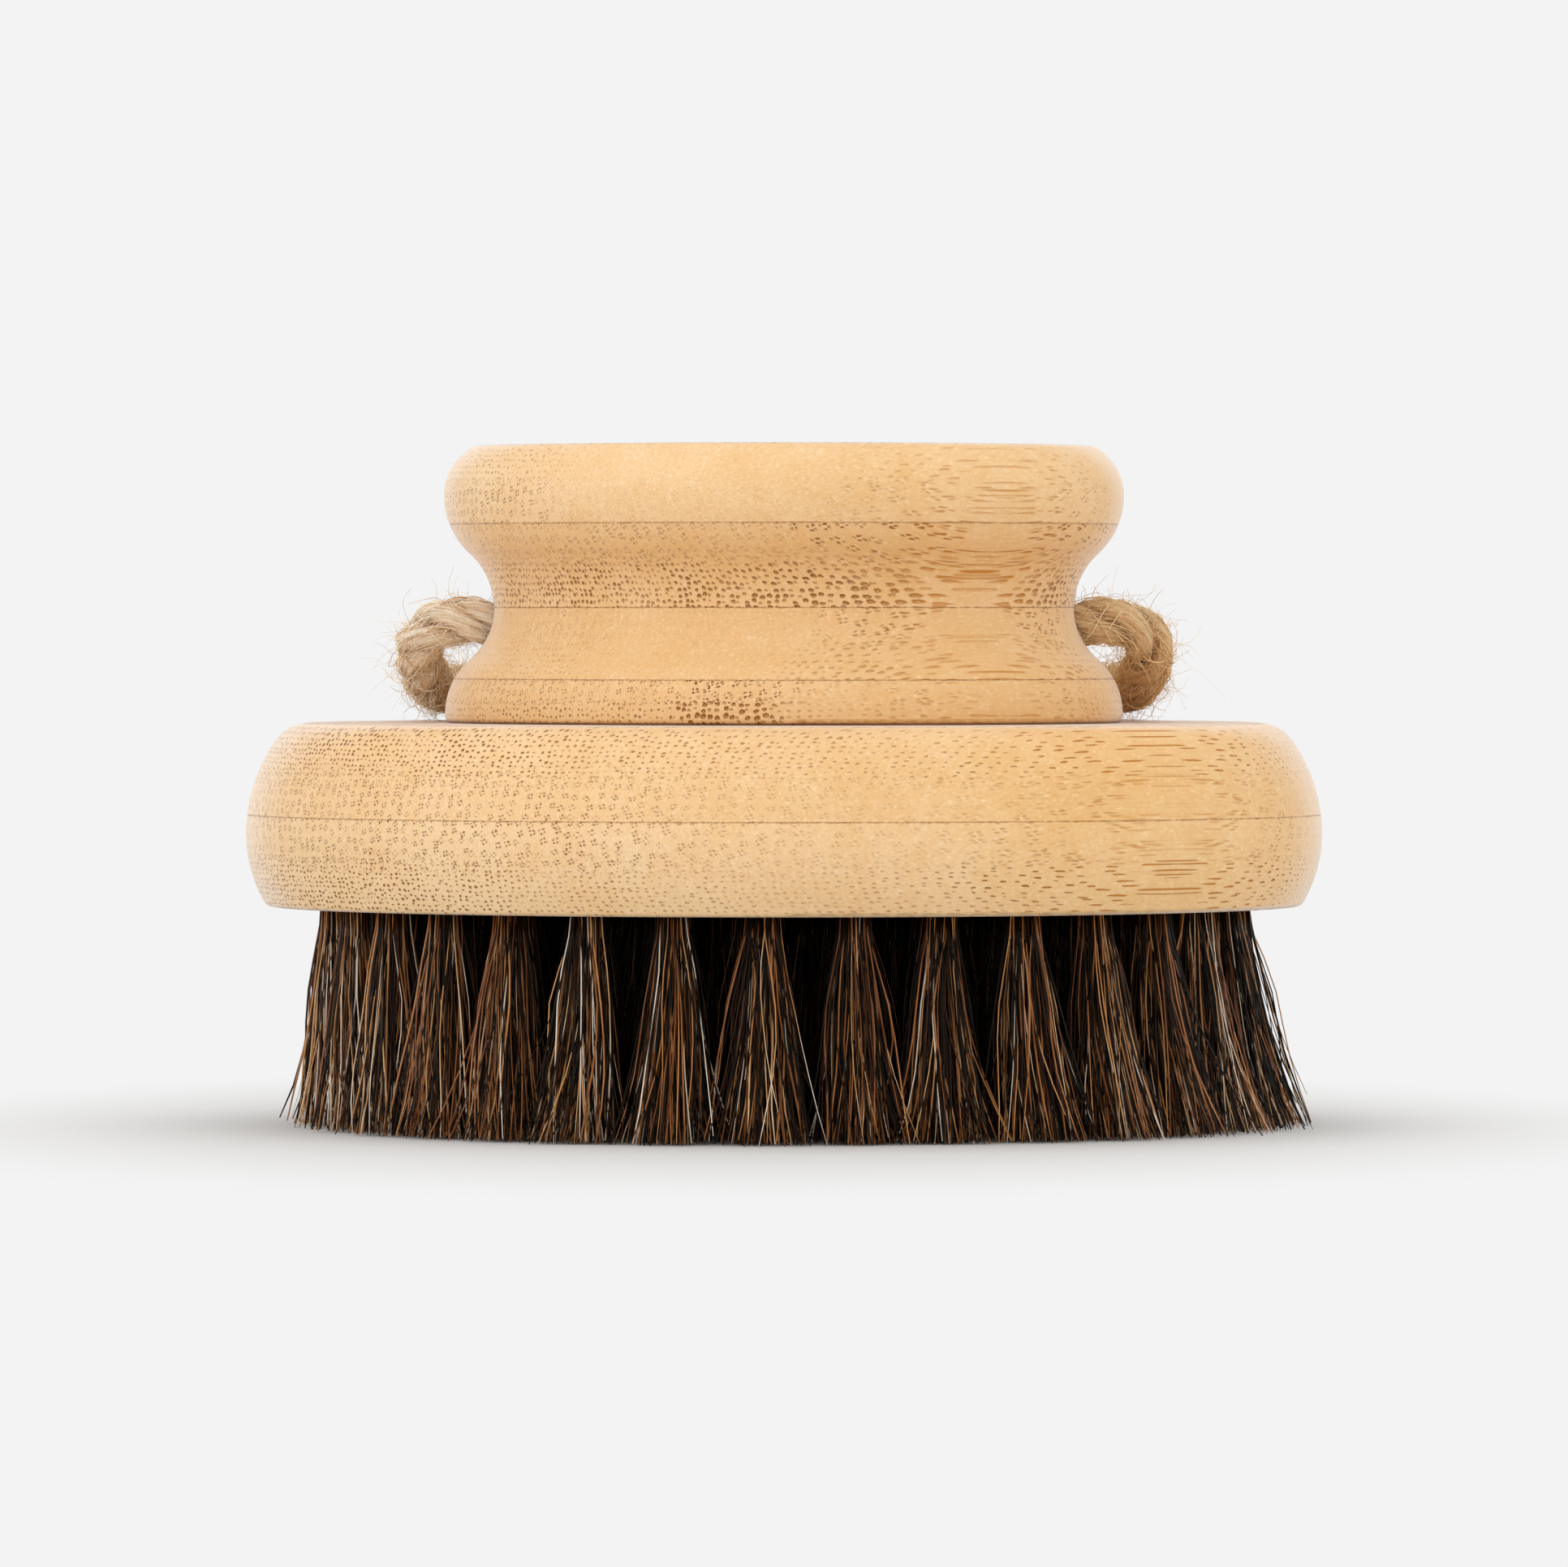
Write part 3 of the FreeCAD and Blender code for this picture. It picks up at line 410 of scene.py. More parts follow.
def bamboo(ply, seed):
    """Bamboo of one ply. Its pattern is drawn on the end grain and runs along the fibres."""
    shader = Shader("bamboo_" + ply.node)
    low, high = level_of(ply.node, 0), level_of(ply.node, 1)
    x, y, z = shader.object_mm()
    sine, cosine = math.sin(ply.turn), math.cos(ply.turn)
    along = shader.plus(shader.times(x, cosine), shader.times(y, sine))
    across = shader.minus(shader.times(x, sine), shader.times(y, cosine))
    drift_place = shader.combine(shader.times(along, 0.03), shader.times(across, 0.08), z)
    drift = shader.minus(shader.noise(drift_place, scale=0.5, detail=1.0), 0.5)
    across_bent = shader.scaled(drift, 0.5, across)
    up_bent = shader.scaled(drift, 0.4, z)

    share = shader.math("DIVIDE", shader.minus(z, low), high - low)
    if not ply.dense_up:
        share = shader.minus(1.0, share)
    bundles, middles = ply_bundles(shader, ply, across, across_bent, up_bent, share, seed)

    fibre_place = shader.combine(shader.times(along, 0.05), across_bent, up_bent)
    fibres = shader.noise(fibre_place, scale=2.6, detail=4.0, roughness=0.6)
    grain_place = shader.combine(shader.times(along, 0.45), across, z)
    speckle = shader.noise(grain_place, scale=3.4, detail=3.0, roughness=0.75)
    turned_place = shader.combine(along, across, z)
    broad = shader.noise(turned_place, scale=0.035, detail=2.0)
    blotches = shader.noise(turned_place, scale=0.28, detail=4.0, roughness=0.6)
    tone = shader.varied(ply.tint, broad, amount=0.9)
    tone = shader.varied(tone, fibres, amount=0.5)
    tone = shader.varied(tone, blotches, amount=0.7)
    tone = shader.varied(tone, speckle, amount=1.1)
    colour = shader.ramp(tone, [(0.0, PALE_HONEY), (0.5, HONEY), (1.0, DEEP_HONEY)])
    colour = shader.mix(shader.fade(speckle, 0.44, 0.30, low=0.0, high=0.40), colour, PALE_FLECK)
    colour = shader.mix(shader.times(middles, 0.25), colour, PALE_FLECK)

    cut_across = shader.fade(end_grain(shader, ply), 0.08, 0.45)
    pore = shader.mix(cut_across, STREAK_BROWN, PORE_BROWN)
    colour = shader.mix(shader.times(bundles, 0.95), colour, pore)

    # Painted warm light on the right side.
    colour = shader.mix(shader.fade(x, 0.0, 42.0), colour, PAINTED_WARM_LIGHT, "MULTIPLY")
    # Painted reflection: edges seen at grazing angles are mixed toward a pale colour.
    facing = shader.add("ShaderNodeLayerWeight").outputs["Facing"]
    colour = shader.mix(shader.fade(facing, 0.62, 1.0, low=0.0, high=0.6), colour, PAINTED_RIM_REFLECTION)
    colour = glue_lines_and_foot_shadow(shader, ply, z, speckle, colour)

    roughness = shader.scaled(bundles, 0.15, shader.scaled(speckle, 0.16, 0.42))
    height = shader.scaled(bundles, -0.9, shader.times(speckle, 0.5))
    return shader.finish(
        colour, roughness, height, bump_mm=0.07,
        Specular_IOR_Level=shader.scaled(bundles, -0.35, 0.42),
        Sheen_Weight=shader.scaled(bundles, -0.40, 0.45),
        Sheen_Roughness=0.28, Sheen_Tint=(1.0, 0.93, 0.88, 1.0),
    )


# ---------------------------------------------------------------- other materials


def beech():
    shader = Shader("beech")
    x, y, z = shader.object_mm()
    rays = shader.noise(shader.combine(x, y, shader.times(z, 0.08)), scale=2.0, detail=4.0)
    colour = shader.ramp(rays, [(0.3, (0.52, 0.30, 0.15)), (0.7, (0.68, 0.44, 0.25))])
    return shader.finish(colour, shader.scaled(rays, 0.2, 0.5), rays, bump_mm=0.05)


def drawn_wire():
    """Flat steel wire: draw lines along it and a dull surface."""
    shader = Shader("steel_wire")
    x, y, z = shader.object_mm()
    lines = shader.noise(shader.combine(x, y, shader.times(z, 9.0)), scale=1.5, detail=4.0)
    colour = shader.ramp(lines, [(0.3, (0.40, 0.40, 0.41)), (0.7, (0.62, 0.62, 0.63))])
    roughness = shader.scaled(lines, 0.25, 0.28)
    return shader.finish(colour, roughness, lines, bump_mm=0.01, Metallic=1.0)


HAIR_COLOURS = [
    (0.00, (0.004, 0.003, 0.002)),
    (0.30, (0.012, 0.006, 0.004)),
    (0.48, (0.050, 0.017, 0.006)),
    (0.62, (0.250, 0.080, 0.019)),
    (0.76, (0.50, 0.205, 0.055)),
    (0.88, (0.68, 0.39, 0.15)),
    (1.00, (1.0, 0.93, 0.82)),
]


def horsehair():
    """Mixed horsehair. Each hair's tone comes with its vertices."""
    shader = Shader("horsehair")
    x, y, z = shader.object_mm()
    bands = shader.noise(shader.combine(x, y, z), scale=0.9, detail=2.0)
    tone = shader.varied(shader.attribute("tone"), bands, amount=0.10)
    # Painted light: hair on the left side made paler and on the right side darker, as the light
    # falls from the left.
    tone = shader.plus(tone, shader.fade(x, -28.0, -46.0, low=0.0, high=0.05))
    tone = shader.minus(tone, shader.fade(x, 30.0, 46.0, low=0.0, high=0.06))
    colour = shader.ramp(tone, HAIR_COLOURS)
    roughness = shader.scaled(bands, 0.16, 0.14)
    return shader.finish(
        colour, roughness, bands, bump_mm=0.01,
        Specular_IOR_Level=shader.fade(tone, 0.40, 0.95, low=0.14, high=0.90),
        Specular_Tint=(1.0, 0.88, 0.76, 1.0),
    )


RIGHT_PAINTED_SHADE = (0.93, 0.80, 0.59)  # painted warm shade: multiplies the cord's colour on its right side, darker and yellower there
STRAND_COLOURS = ((0.70, 0.44, 0.27), (1.0, 0.79, 0.56), (1.0, 0.93, 0.80))
FIBRE_COLOURS = ((0.68, 0.45, 0.26), (1.0, 0.82, 0.58), (1.0, 0.95, 0.82))


def jute(name, colours):
    """Jute fibre in a dark, a middle and a pale colour. Its tone comes with its vertices."""
    dark, middle, pale = colours
    shader = Shader(name)
    x, y, z = shader.object_mm()
    mottle = shader.noise(shader.combine(x, y, z), scale=1.4, detail=4.0, roughness=0.65)
    grain = shader.attribute("grain", "Vector")
    streaks = shader.noise(grain, scale=9.0, detail=4.0, roughness=0.7)
    tone = shader.varied(shader.attribute("tone"), mottle, amount=0.7)
    tone = shader.varied(tone, streaks, amount=1.5)
    colour = shader.ramp(tone, [(0.05, dark), (0.5, middle), (0.95, pale)])
    # Painted warm shade on the cord's right side.
    colour = shader.mix(shader.fade(x, -25.0, 25.0), colour, RIGHT_PAINTED_SHADE, "MULTIPLY")
    return shader.finish(
        colour, shader.scaled(mottle, 0.2, 0.62), streaks, bump_mm=0.30,
        Sheen_Weight=0.15, Sheen_Roughness=0.5, Specular_IOR_Level=0.3,
    )


# ---------------------------------------------------------------- tubes


def new_piece(name, vertices_mm, faces, material, tone=None, grain=None, smooth=True):
    """A mesh piece from millimetre vertices."""
    mesh = bpy.data.meshes.new(name)
    mesh.from_pydata((np.asarray(vertices_mm) * MM).tolist(), [], faces)
    if tone is not None:
        layer = mesh.attributes.new("tone", "FLOAT", "POINT")
        layer.data.foreach_set("value", np.asarray(tone, np.float32))
    if grain is not None:
        layer = mesh.attributes.new("grain", "FLOAT_VECTOR", "POINT")
        layer.data.foreach_set("vector", np.asarray(grain, np.float32).ravel())
    mesh.polygons.foreach_set("use_smooth", [smooth] * len(mesh.polygons))
    mesh.materials.append(material)
    piece = bpy.data.objects.new(name, mesh)
    bpy.context.scene.collection.objects.link(piece)
    return piece


def unit(vectors):
    """Vectors of length 1."""
    return vectors / np.maximum(np.linalg.norm(vectors, axis=-1, keepdims=True), 1e-12)


def around(sideways, upward, turn):
    """Directions at an angle round a path, from its two sideways directions."""
    return sideways * np.cos(turn)[..., None] + upward * np.sin(turn)[..., None]


def tube_faces(first, points, sides):
    """Walls and end caps of tubes whose vertices start at these places in the vertex list."""
    first = np.asarray(first)[:, None, None]
    step = np.arange(points - 1)[None, :, None] * sides
    side = np.arange(sides)[None, None, :]
    a = first + step + side
    b = first + step + (side + 1) % sides
    walls = np.stack([a, b, b + sides, a + sides], axis=-1).reshape(-1, 4)
    start = first[:, 0] + np.arange(sides)[None, ::-1]
    end = first[:, 0] + (points - 1) * sides + np.arange(sides)[None, :]
    return walls.tolist() + start.tolist() + end.tolist()


def tubes(paths, radii, sides):
    """Vertices and faces of many closed tubes at once.

    paths is (tubes, points, 3) and radii is (tubes, points). Each tube's ends are closed."""
    count, points, _ = paths.shape
    tangents = unit(np.gradient(paths, axis=1))
    steep = np.abs(tangents[:, :1, 2:3]) > 0.7
    seed_axis = np.where(steep, [[[1.0, 0, 0]]], [[[0, 0, 1.0]]])
    sideways = unit(np.cross(tangents, np.broadcast_to(seed_axis, tangents.shape)))
    upward = np.cross(sideways, tangents)
    turns = np.arange(sides) * (2 * math.pi / sides)
    ring = around(sideways[:, :, None], upward[:, :, None], turns)
    vertices = paths[:, :, None] + ring * radii[:, :, None, None]
    return vertices.reshape(-1, 3), tube_faces(np.arange(count) * points * sides, points, sides)


# ---------------------------------------------------------------- horsehair tufts

HAIR_RADIUS = (0.042, 0.105)
HAIR_POINTS = 8
HAIR_START_IN_HOLE = 1.2
PALE_TONE = 0.84  # a hair of a higher tone than this is white
PALE_HAIR_FINER = 0.72
# Black, dark brown, auburn, tan and white: their shares and their tones in HAIR_COLOURS.
HAIR_KIND_SHARES = [0.43, 0.19, 0.20, 0.10, 0.08]
HAIR_KIND_TONES = [0.10, 0.38, 0.64, 0.79, 0.95]
# painted shade: the inner rings' hairs are made darker, standing for the shade between the tufts
INNER_PAINTED_SHADE = 0.25
TUFT_FILL = 0.95  # share of the hole's radius that the hairs take up
TUFT_FLARE = 1.20
FLARE_UNEVEN = 0.18
TIP_SCATTER = 1.0
TUFT_SCATTER = 0.35
STRAY_SHARE = 0.07
STRAY_FLARE = 1.30
SHORT_SHARE = 0.05
SHORT_BY = 3.0
TRIM_LEVEL = 0.05
TRIM_RAGGED = 0.35
HAIR_BOW = 0.55
HAIR_WAVE = 0.14
# Tufts on the left side stand more upright: from UPRIGHT_FROM left of the middle their tips shift
# toward it, and fully once they are UPRIGHT_OVER further left.
UPRIGHT_SIDE_SHIFT = 3.6
UPRIGHT_FROM = 30.0
UPRIGHT_OVER = 14.0
SAME_TUFT = 3.5  # points of one tuft's upper face are nearer to its first point than this
SAME_LEVEL = 0.01


def tuft_places(node):
    """Root centre, tip centre, root radius and tip radius of each tuft of a CAD ring."""
    mesh = frame["nodes"][node].data
    points = np.array([v.co for v in mesh.vertices], float) / MM
    high = points[points[:, 2] > points[:, 2].max() - SAME_LEVEL, :2]
    low = points[points[:, 2] < points[:, 2].min() + SAME_LEVEL, :2]
    groups = []
    for point in high:
        near = [g for g in groups if np.hypot(*(g[0] - point)) < SAME_TUFT]
        if near:
            near[0].append(point)
        else:
            groups.append([point])
    roots = np.array([(np.min(g, axis=0) + np.max(g, axis=0)) / 2 for g in groups])
    owner = np.argmin(np.hypot(*(low[:, None] - roots[None]).transpose(2, 0, 1)), axis=1)
    places = []
    for i, root in enumerate(roots):
        own = low[owner == i]
        tip = (own.min(axis=0) + own.max(axis=0)) / 2
        tip_radius = float(np.hypot(*(own - tip).T).max())
        root_radius = float(np.hypot(*(np.array(groups[i]) - root).T).max())
        places.append((root, tip, root_radius, tip_radius))
    return sorted(places, key=lambda p: math.atan2(p[0][1], p[0][0]))


def disc(random, count):
    """Even points in a unit disc."""
    radius = np.sqrt(random.random(count))
    angle = random.random(count) * 2 * math.pi
    return np.stack([radius * np.cos(angle), radius * np.sin(angle)], axis=1)


def hair_tones(random, count):
    """Tones of a tuft's hairs. A tone varies a little along its hair, paler toward the tip on
    average: partly wear, partly painted glints.
    """
    lean = random.normal(0.0, 0.05)
    kinds = random.choice(len(HAIR_KIND_TONES), count, p=HAIR_KIND_SHARES)
    middle = np.array(HAIR_KIND_TONES)[kinds]
    tones = (middle + lean + random.normal(0, 0.05, count))[:, None]
    # Partly wear and partly painted glints: a random slope along each hair, paler toward the tip on
    # average.
    wear_and_glint = random.normal(0.03, 0.06, (count, 1)) * np.linspace(-1, 1, HAIR_POINTS)[None, :]
    patchy = random.normal(0, 0.025, (count, HAIR_POINTS))
    return np.clip(tones + wear_and_glint + patchy, 0, 1)


def tuft_hairs(random, place, count):
    """Paths, radii and tones of a tuft's hairs, which leave the hole together and flare."""
    root, tip, root_radius, tip_radius = place
    spot = disc(random, count)
    start_level = np.full(count, UNDERSIDE + HAIR_START_IN_HOLE)
    starts = np.column_stack([root + spot * root_radius * TUFT_FILL, start_level])
    flare = TUFT_FLARE * tip_radius * (1 + random.normal(0, FLARE_UNEVEN, count))[:, None]
    stray = random.random(count) < STRAY_SHARE
    flare[stray] *= STRAY_FLARE
    ends_xy = tip + spot * flare + random.normal(0, TIP_SCATTER, (count, 2))
    ends_xy += random.normal(0, TUFT_SCATTER, 2)
    ends_xy[:, 0] += UPRIGHT_SIDE_SHIFT * np.clip((-tip[0] - UPRIGHT_FROM) / UPRIGHT_OVER, 0, 1)
    ragged = np.abs(random.normal(0, TRIM_RAGGED, count)) * 0.7
    short = random.random(count) < SHORT_SHARE
    ragged[short] += random.random(short.sum()) * SHORT_BY
    ends = np.column_stack([ends_xy, TRIM_LEVEL + ragged])

    t = np.linspace(0, 1, HAIR_POINTS)
    down = t[None, :, None]
    spread = (0.36 * t + 0.64 * t**2.2)[None, :, None]
    paths = np.empty((count, HAIR_POINTS, 3))
    paths[:, :, :2] = starts[:, None, :2] + (ends - starts)[:, None, :2] * spread
    paths[:, :, 2:] = starts[:, None, 2:] + (ends - starts)[:, None, 2:] * down
    bow = random.normal(0, HAIR_BOW, (count, 1, 2)) * np.sin(math.pi * t)[None, :, None]
    phase = random.random((count, 1, 1)) * 2 * math.pi
    wave = random.normal(0, HAIR_WAVE, (count, 1, 2)) * np.sin(2.6 * math.pi * down + phase)
    paths[:, :, :2] += (bow + wave) * np.minimum(1, 3 * t)[None, :, None]

    tones = hair_tones(random, count)
    radius = random.uniform(*HAIR_RADIUS, count)[:, None]
    radius[tones.mean(axis=1) > PALE_TONE] *= PALE_HAIR_FINER
    taper = np.interp(t, [0, 0.85, 1], [1.0, 0.9, 0.55])[None, :]
    return paths, radius * taper, tones


def make_tufts(name, node, places, hairs, sides, material, darker=0.0):
    """One piece of hair that stands for the tufts at these places of a CAD node."""
    random = np.random.default_rng([HAIR_SEED, sum(name.encode())])
    tufts = [tuft_hairs(random, place, hairs) for place in places]
    paths, radii, tones = (np.concatenate(part) for part in zip(*tufts))
    vertices, faces = tubes(paths, radii, sides)
    # darker lowers the tones: painted shade for the inner rings.
    tone = np.repeat((tones - darker).ravel(), sides)
    piece = new_piece(name, vertices, faces, material, tone)
    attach(piece, "brush")
    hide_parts(node)


OUTER_HAIRS = 245
INNER_HAIRS = {2: 170, 3: 130, 4: 120, 5: 120, 6: 120}
CENTRE_HAIRS = 120
OUTER_SIDES = 4
INNER_SIDES = 3


def make_brush_hair():
    material = horsehair()
    outer = tuft_places("tufts_ring_1")
    half = len(outer) // 2
    for end, places in (("front", outer[:half]), ("back", outer[half:])):
        name = f"outer_tufts_{end}_hair"
        make_tufts(name, "tufts_ring_1", places, OUTER_HAIRS, OUTER_SIDES, material)
    for ring, hairs in INNER_HAIRS.items():
        node = f"tufts_ring_{ring}"
        places = tuft_places(node)
        make_tufts(f"{node}_hair", node, places, hairs, INNER_SIDES, material, INNER_PAINTED_SHADE)
    places = tuft_places("tuft_centre")
    make_tufts("tuft_centre_hair", "tuft_centre", places, CENTRE_HAIRS, INNER_SIDES, material)


# ---------------------------------------------------------------- jute cord

ROPE_RADIUS = 2.05
STRANDS = 3
STRAND_RADIUS = 1.09
STRAND_ORBIT = 1.05
STRAND_SIDES = 36
STRAND_RIDGES = 7
LAY_PITCH = 12.5  # length of one full turn of the strands round the cord
FIBRE_TWIST = 5.5  # length over which the fibres turn one radian round their strand
ROPE_STEP = 0.55
LEG_RISE = DECK + 2.4
DECK_GAP = 0.1  # the cord's loose fibres stay this far above the deck
RIM_WIDTH = 6.0  # the deck is flat this far inside the head's outline
GROOVE_PAINTED_SHADE = 0.62  # painted shade: how much darker the cord's tone is in the grooves between strands
SURFACE_FIBRES = 8500
SURFACE_FIBRE_POINTS = 8
SURFACE_FIBRE_RADIUS = (0.018, 0.046)
CROSSING_FIBRES = 2400
CROSSING_FIBRE_POINTS = 9
CROSSING_FIBRE_RADIUS = (0.030, 0.085)
FUZZ_FIBRES = 10000
FUZZ_POINTS = 8
FUZZ_RADIUS = (0.016, 0.042)
FUZZ_LENGTH = 1.7
FUZZ_LONGEST = 3.8
LONG_SHARE = 0.007
LONG_LENGTH = (4.5, 7.5)
FIBRE_SIDES = 3

MOUTH = 28.1  # the hole's end, from the knob's middle
# Poles of the right leg's curve after the hole: sideways, backwards, and up from the resting cord.
LEG_POLES = [
    (31.0, 0.0, 7.3),
    (33.7, 1.6, 6.3),
    (34.5, 4.4, 3.9),
    (33.2, 10.5, 0.9),
    (32.3, 20.0, 0.5),
    (30.0, 29.0, 0.9),
    (21.5, 35.5, 1.2),
    (11.0, 37.0, 1.4),
    (4.2, 39.0, 2.4),
    (2.2, 42.0, 2.7),
]
KNOT_BACK = 44.2
KNOT_RISE = LEG_RISE + 2.7


def length_along(path):
    """Distance from the path's start at each of its points."""
    return np.concatenate([[0], np.cumsum(np.linalg.norm(np.diff(path, axis=0), axis=1))])


def even_points(samples):
    """Points at even steps along a line of samples."""
    lengths = length_along(samples)
    wanted = np.linspace(0, lengths[-1], max(4, int(lengths[-1] / ROPE_STEP)))
    return np.column_stack([np.interp(wanted, lengths, samples[:, k]) for k in range(3)])


def smooth_curve(poles):
    """Even points along the cubic B-spline with these poles."""
    poles = np.asarray(poles, float)
    knots = np.concatenate([[0] * 3, np.linspace(0, 1, len(poles) - 2), [1] * 3])
    samples = []
    for u in np.linspace(0, 1 - 1e-9, 40 * len(poles)):
        span = np.searchsorted(knots, u, side="right") - 1
        points = [poles[j + span - 3] for j in range(4)]
        for level in range(1, 4):
            for j in range(3, level - 1, -1):
                left, right = knots[j + span - 3], knots[j + 1 + span - level]
                share = (u - left) / (right - left)
                points[j] = (1 - share) * points[j - 1] + share * points[j]
        samples.append(points[3])
    return even_points(np.array(samples))


def sideways_along(path):
    """Two steady sideways directions at each point, without twist along the path."""
    tangents = unit(np.gradient(path, axis=0))
    sideways = [unit(np.cross(tangents[0], [0.0, 0.3, 1.0]))]
    for tangent in tangents[1:]:
        carried = sideways[-1] - tangent * (sideways[-1] @ tangent)
        sideways.append(unit(carried))
    sideways = np.array(sideways)
    return sideways, np.cross(tangents, sideways)


def leg_poles(side):
    poles = [(side * MOUTH, 0, BORE_LEVEL)]
    return poles + [(side * x, y, LEG_RISE + up) for x, y, up in LEG_POLES]


def tail_poles(side):
    """One free end of the cord, from inside the knot over the rim."""
    return [
        (side * 2.0, KNOT_BACK - 1, KNOT_RISE),
        (side * 2.2, KNOT_BACK + 4, KNOT_RISE),
        (side * 4.2, KNOT_BACK + 8.5, KNOT_RISE - 0.6),
        (side * 7.0, KNOT_BACK + 12.5, KNOT_RISE - 2.0),
        (side * 8.6, KNOT_BACK + 15.5, KNOT_RISE - 3.4),
    ]


def knot_turn():
    """The cord's turn round its own two legs, whose ends dive back into the knot."""
    samples = []
    for share in np.linspace(0, 1, 90):
        angle = -0.6 * math.pi + share * 3.25 * math.pi
        swell = math.sin(math.pi * min(1, share * 6, (1 - share) * 6) / 2)
        reach_x, reach_z = 1.8 + 4.0 * swell, 0.6 + 2.7 * swell
        along = -3.6 + 7.2 * share + 1.3 * math.sin(angle)
        x, z = reach_x * math.cos(angle), KNOT_RISE + reach_z * math.sin(angle)
        samples.append((x, KNOT_BACK + along, z))
    return even_points(np.array(samples))


def cord_paths():
    """Centre lines of the cord: the loop in one run, the knot's turn and the two tails."""
    left, right = smooth_curve(leg_poles(-1)), smooth_curve(leg_poles(1))
    through = even_points(np.array([(-MOUTH, 0, BORE_LEVEL), (MOUTH, 0, BORE_LEVEL)]))
    loop = even_points(np.concatenate([left[::-1], through[1:-1], right]))
    return [loop, knot_turn(), smooth_curve(tail_poles(-1)), smooth_curve(tail_poles(1))]


def smooth_noise(random, count, spacing):
    """A gently varying series of about unit size."""
    rough = random.normal(0, 1, int(count / spacing) + 4)
    return np.interp(np.arange(count) / spacing, np.arange(len(rough)), rough)


def strand_centre(path, strand, wobble):
    """The path of one of the cord's strands, and its sideways directions out from the cord."""
    angle = 2 * math.pi * (length_along(path) / LAY_PITCH + strand / STRANDS) + wobble
    outward = around(*sideways_along(path), angle)
    return path + outward * STRAND_ORBIT, outward


def strand_mesh(random, path, outward):
    """One strand: a tube whose surface is ridged by bundles of fibre that twist round it.

    Returns its vertices, their tones and their places in the fibres' grain."""
    sideways, upward = sideways_along(path)
    count = len(path)
    lengths = length_along(path)[:, None]
    columns = np.arange(STRAND_SIDES) * 2 * math.pi / STRAND_SIDES
    turns = columns[None, :] - lengths / FIBRE_TWIST
    radius = STRAND_RADIUS * (1 + 0.05 * smooth_noise(random, count, 9))
    drift = 0.8 * smooth_noise(random, count, 12)[:, None]
    ridges = 0.035 * np.cos(STRAND_RIDGES * turns + drift)
    fine = np.stack([smooth_noise(random, count, 10) for _ in range(STRAND_SIDES)], axis=1)
    reach = radius[:, None] * (1 + ridges + 0.035 * fine)
    ring = around(sideways[:, None], upward[:, None], turns)
    vertices = path[:, None] + ring * reach[:, :, None]
    # Painted shade: the tone rises with the strand's ridges and bumps, paler where the surface
    # stands out and darker in its dips.
    tone = 0.5 + 3.0 * ridges + 0.20 * fine + 0.06 * smooth_noise(random, count, 14)[:, None]
    facing_out = np.einsum("nsk,nk->ns", ring, outward)
    # Painted shade in the grooves, where the strand faces into the cord.
    tone -= GROOVE_PAINTED_SHADE * np.clip(0.45 - facing_out, 0, 1)
    grain = np.empty((count, STRAND_SIDES, 3))
    grain[:, :, 0] = np.cos(columns)
    grain[:, :, 1] = np.sin(columns)
    grain[:, :, 2] = 0.07 * lengths + random.uniform(0, 50)
    return vertices.reshape(-1, 3), tone.ravel(), grain.reshape(-1, 3)


def make_strands(random, paths, material):
    """The cord's body. Also returns each strand's path and its directions out from the cord."""
    strands, meshes, faces, first = [], [], [], 0
    for path in paths:
        for strand in range(STRANDS):
            wobble = 0.25 * smooth_noise(random, len(path), 16)
            centre, outward = strand_centre(path, strand, wobble)
            strands.append((centre, outward))
            meshes.append(strand_mesh(random, centre, outward))
            faces += tube_faces([first], len(centre), STRAND_SIDES)
            first += len(centre) * STRAND_SIDES
    vertices, tone, grain = (np.concatenate(part) for part in zip(*meshes))
    piece = new_piece("hanging_cord_strands", vertices, faces, material, tone, grain)
    return piece, strands


def evenly(values, count):
    """The rows of an array read off at evenly spaced places along it."""
    places = np.linspace(0, len(values) - 1, count)
    return np.column_stack([np.interp(places, np.arange(len(values)), row) for row in values.T])


def inside_bore(points):
    return (np.abs(points[:, 0]) < MOUTH - 1.2) & (np.abs(points[:, 1]) < 1.5)


def picks_by_length(random, paths, count):
    """Numbers of paths picked at random, a longer path more often."""
    weights = np.array([len(path) for path in paths], float)
    return random.choice(len(paths), count, p=weights / weights.sum())


def above_deck(lines):
    """Lines lifted clear of the head's flat deck wherever they are over it."""
    over_head = np.hypot(lines[:, :, 0], lines[:, :, 1]) < HEAD_RADIUS - RIM_WIDTH
    lifted = np.maximum(lines[:, :, 2], DECK + DECK_GAP)
    lines[:, :, 2] = np.where(over_head, lifted, lines[:, :, 2])
    return lines


def fibre_piece(name, lines, radii, tones, material):
    """One piece of thin fibres. tones is (fibres,) or (fibres, points)."""
    lines, tones = np.array(lines), np.array(tones)
    vertices, faces = tubes(lines, np.array(radii), FIBRE_SIDES)
    repeats = FIBRE_SIDES * (lines.shape[1] if tones.ndim == 1 else 1)
    return new_piece(name, vertices, faces, material, np.repeat(tones.ravel(), repeats))


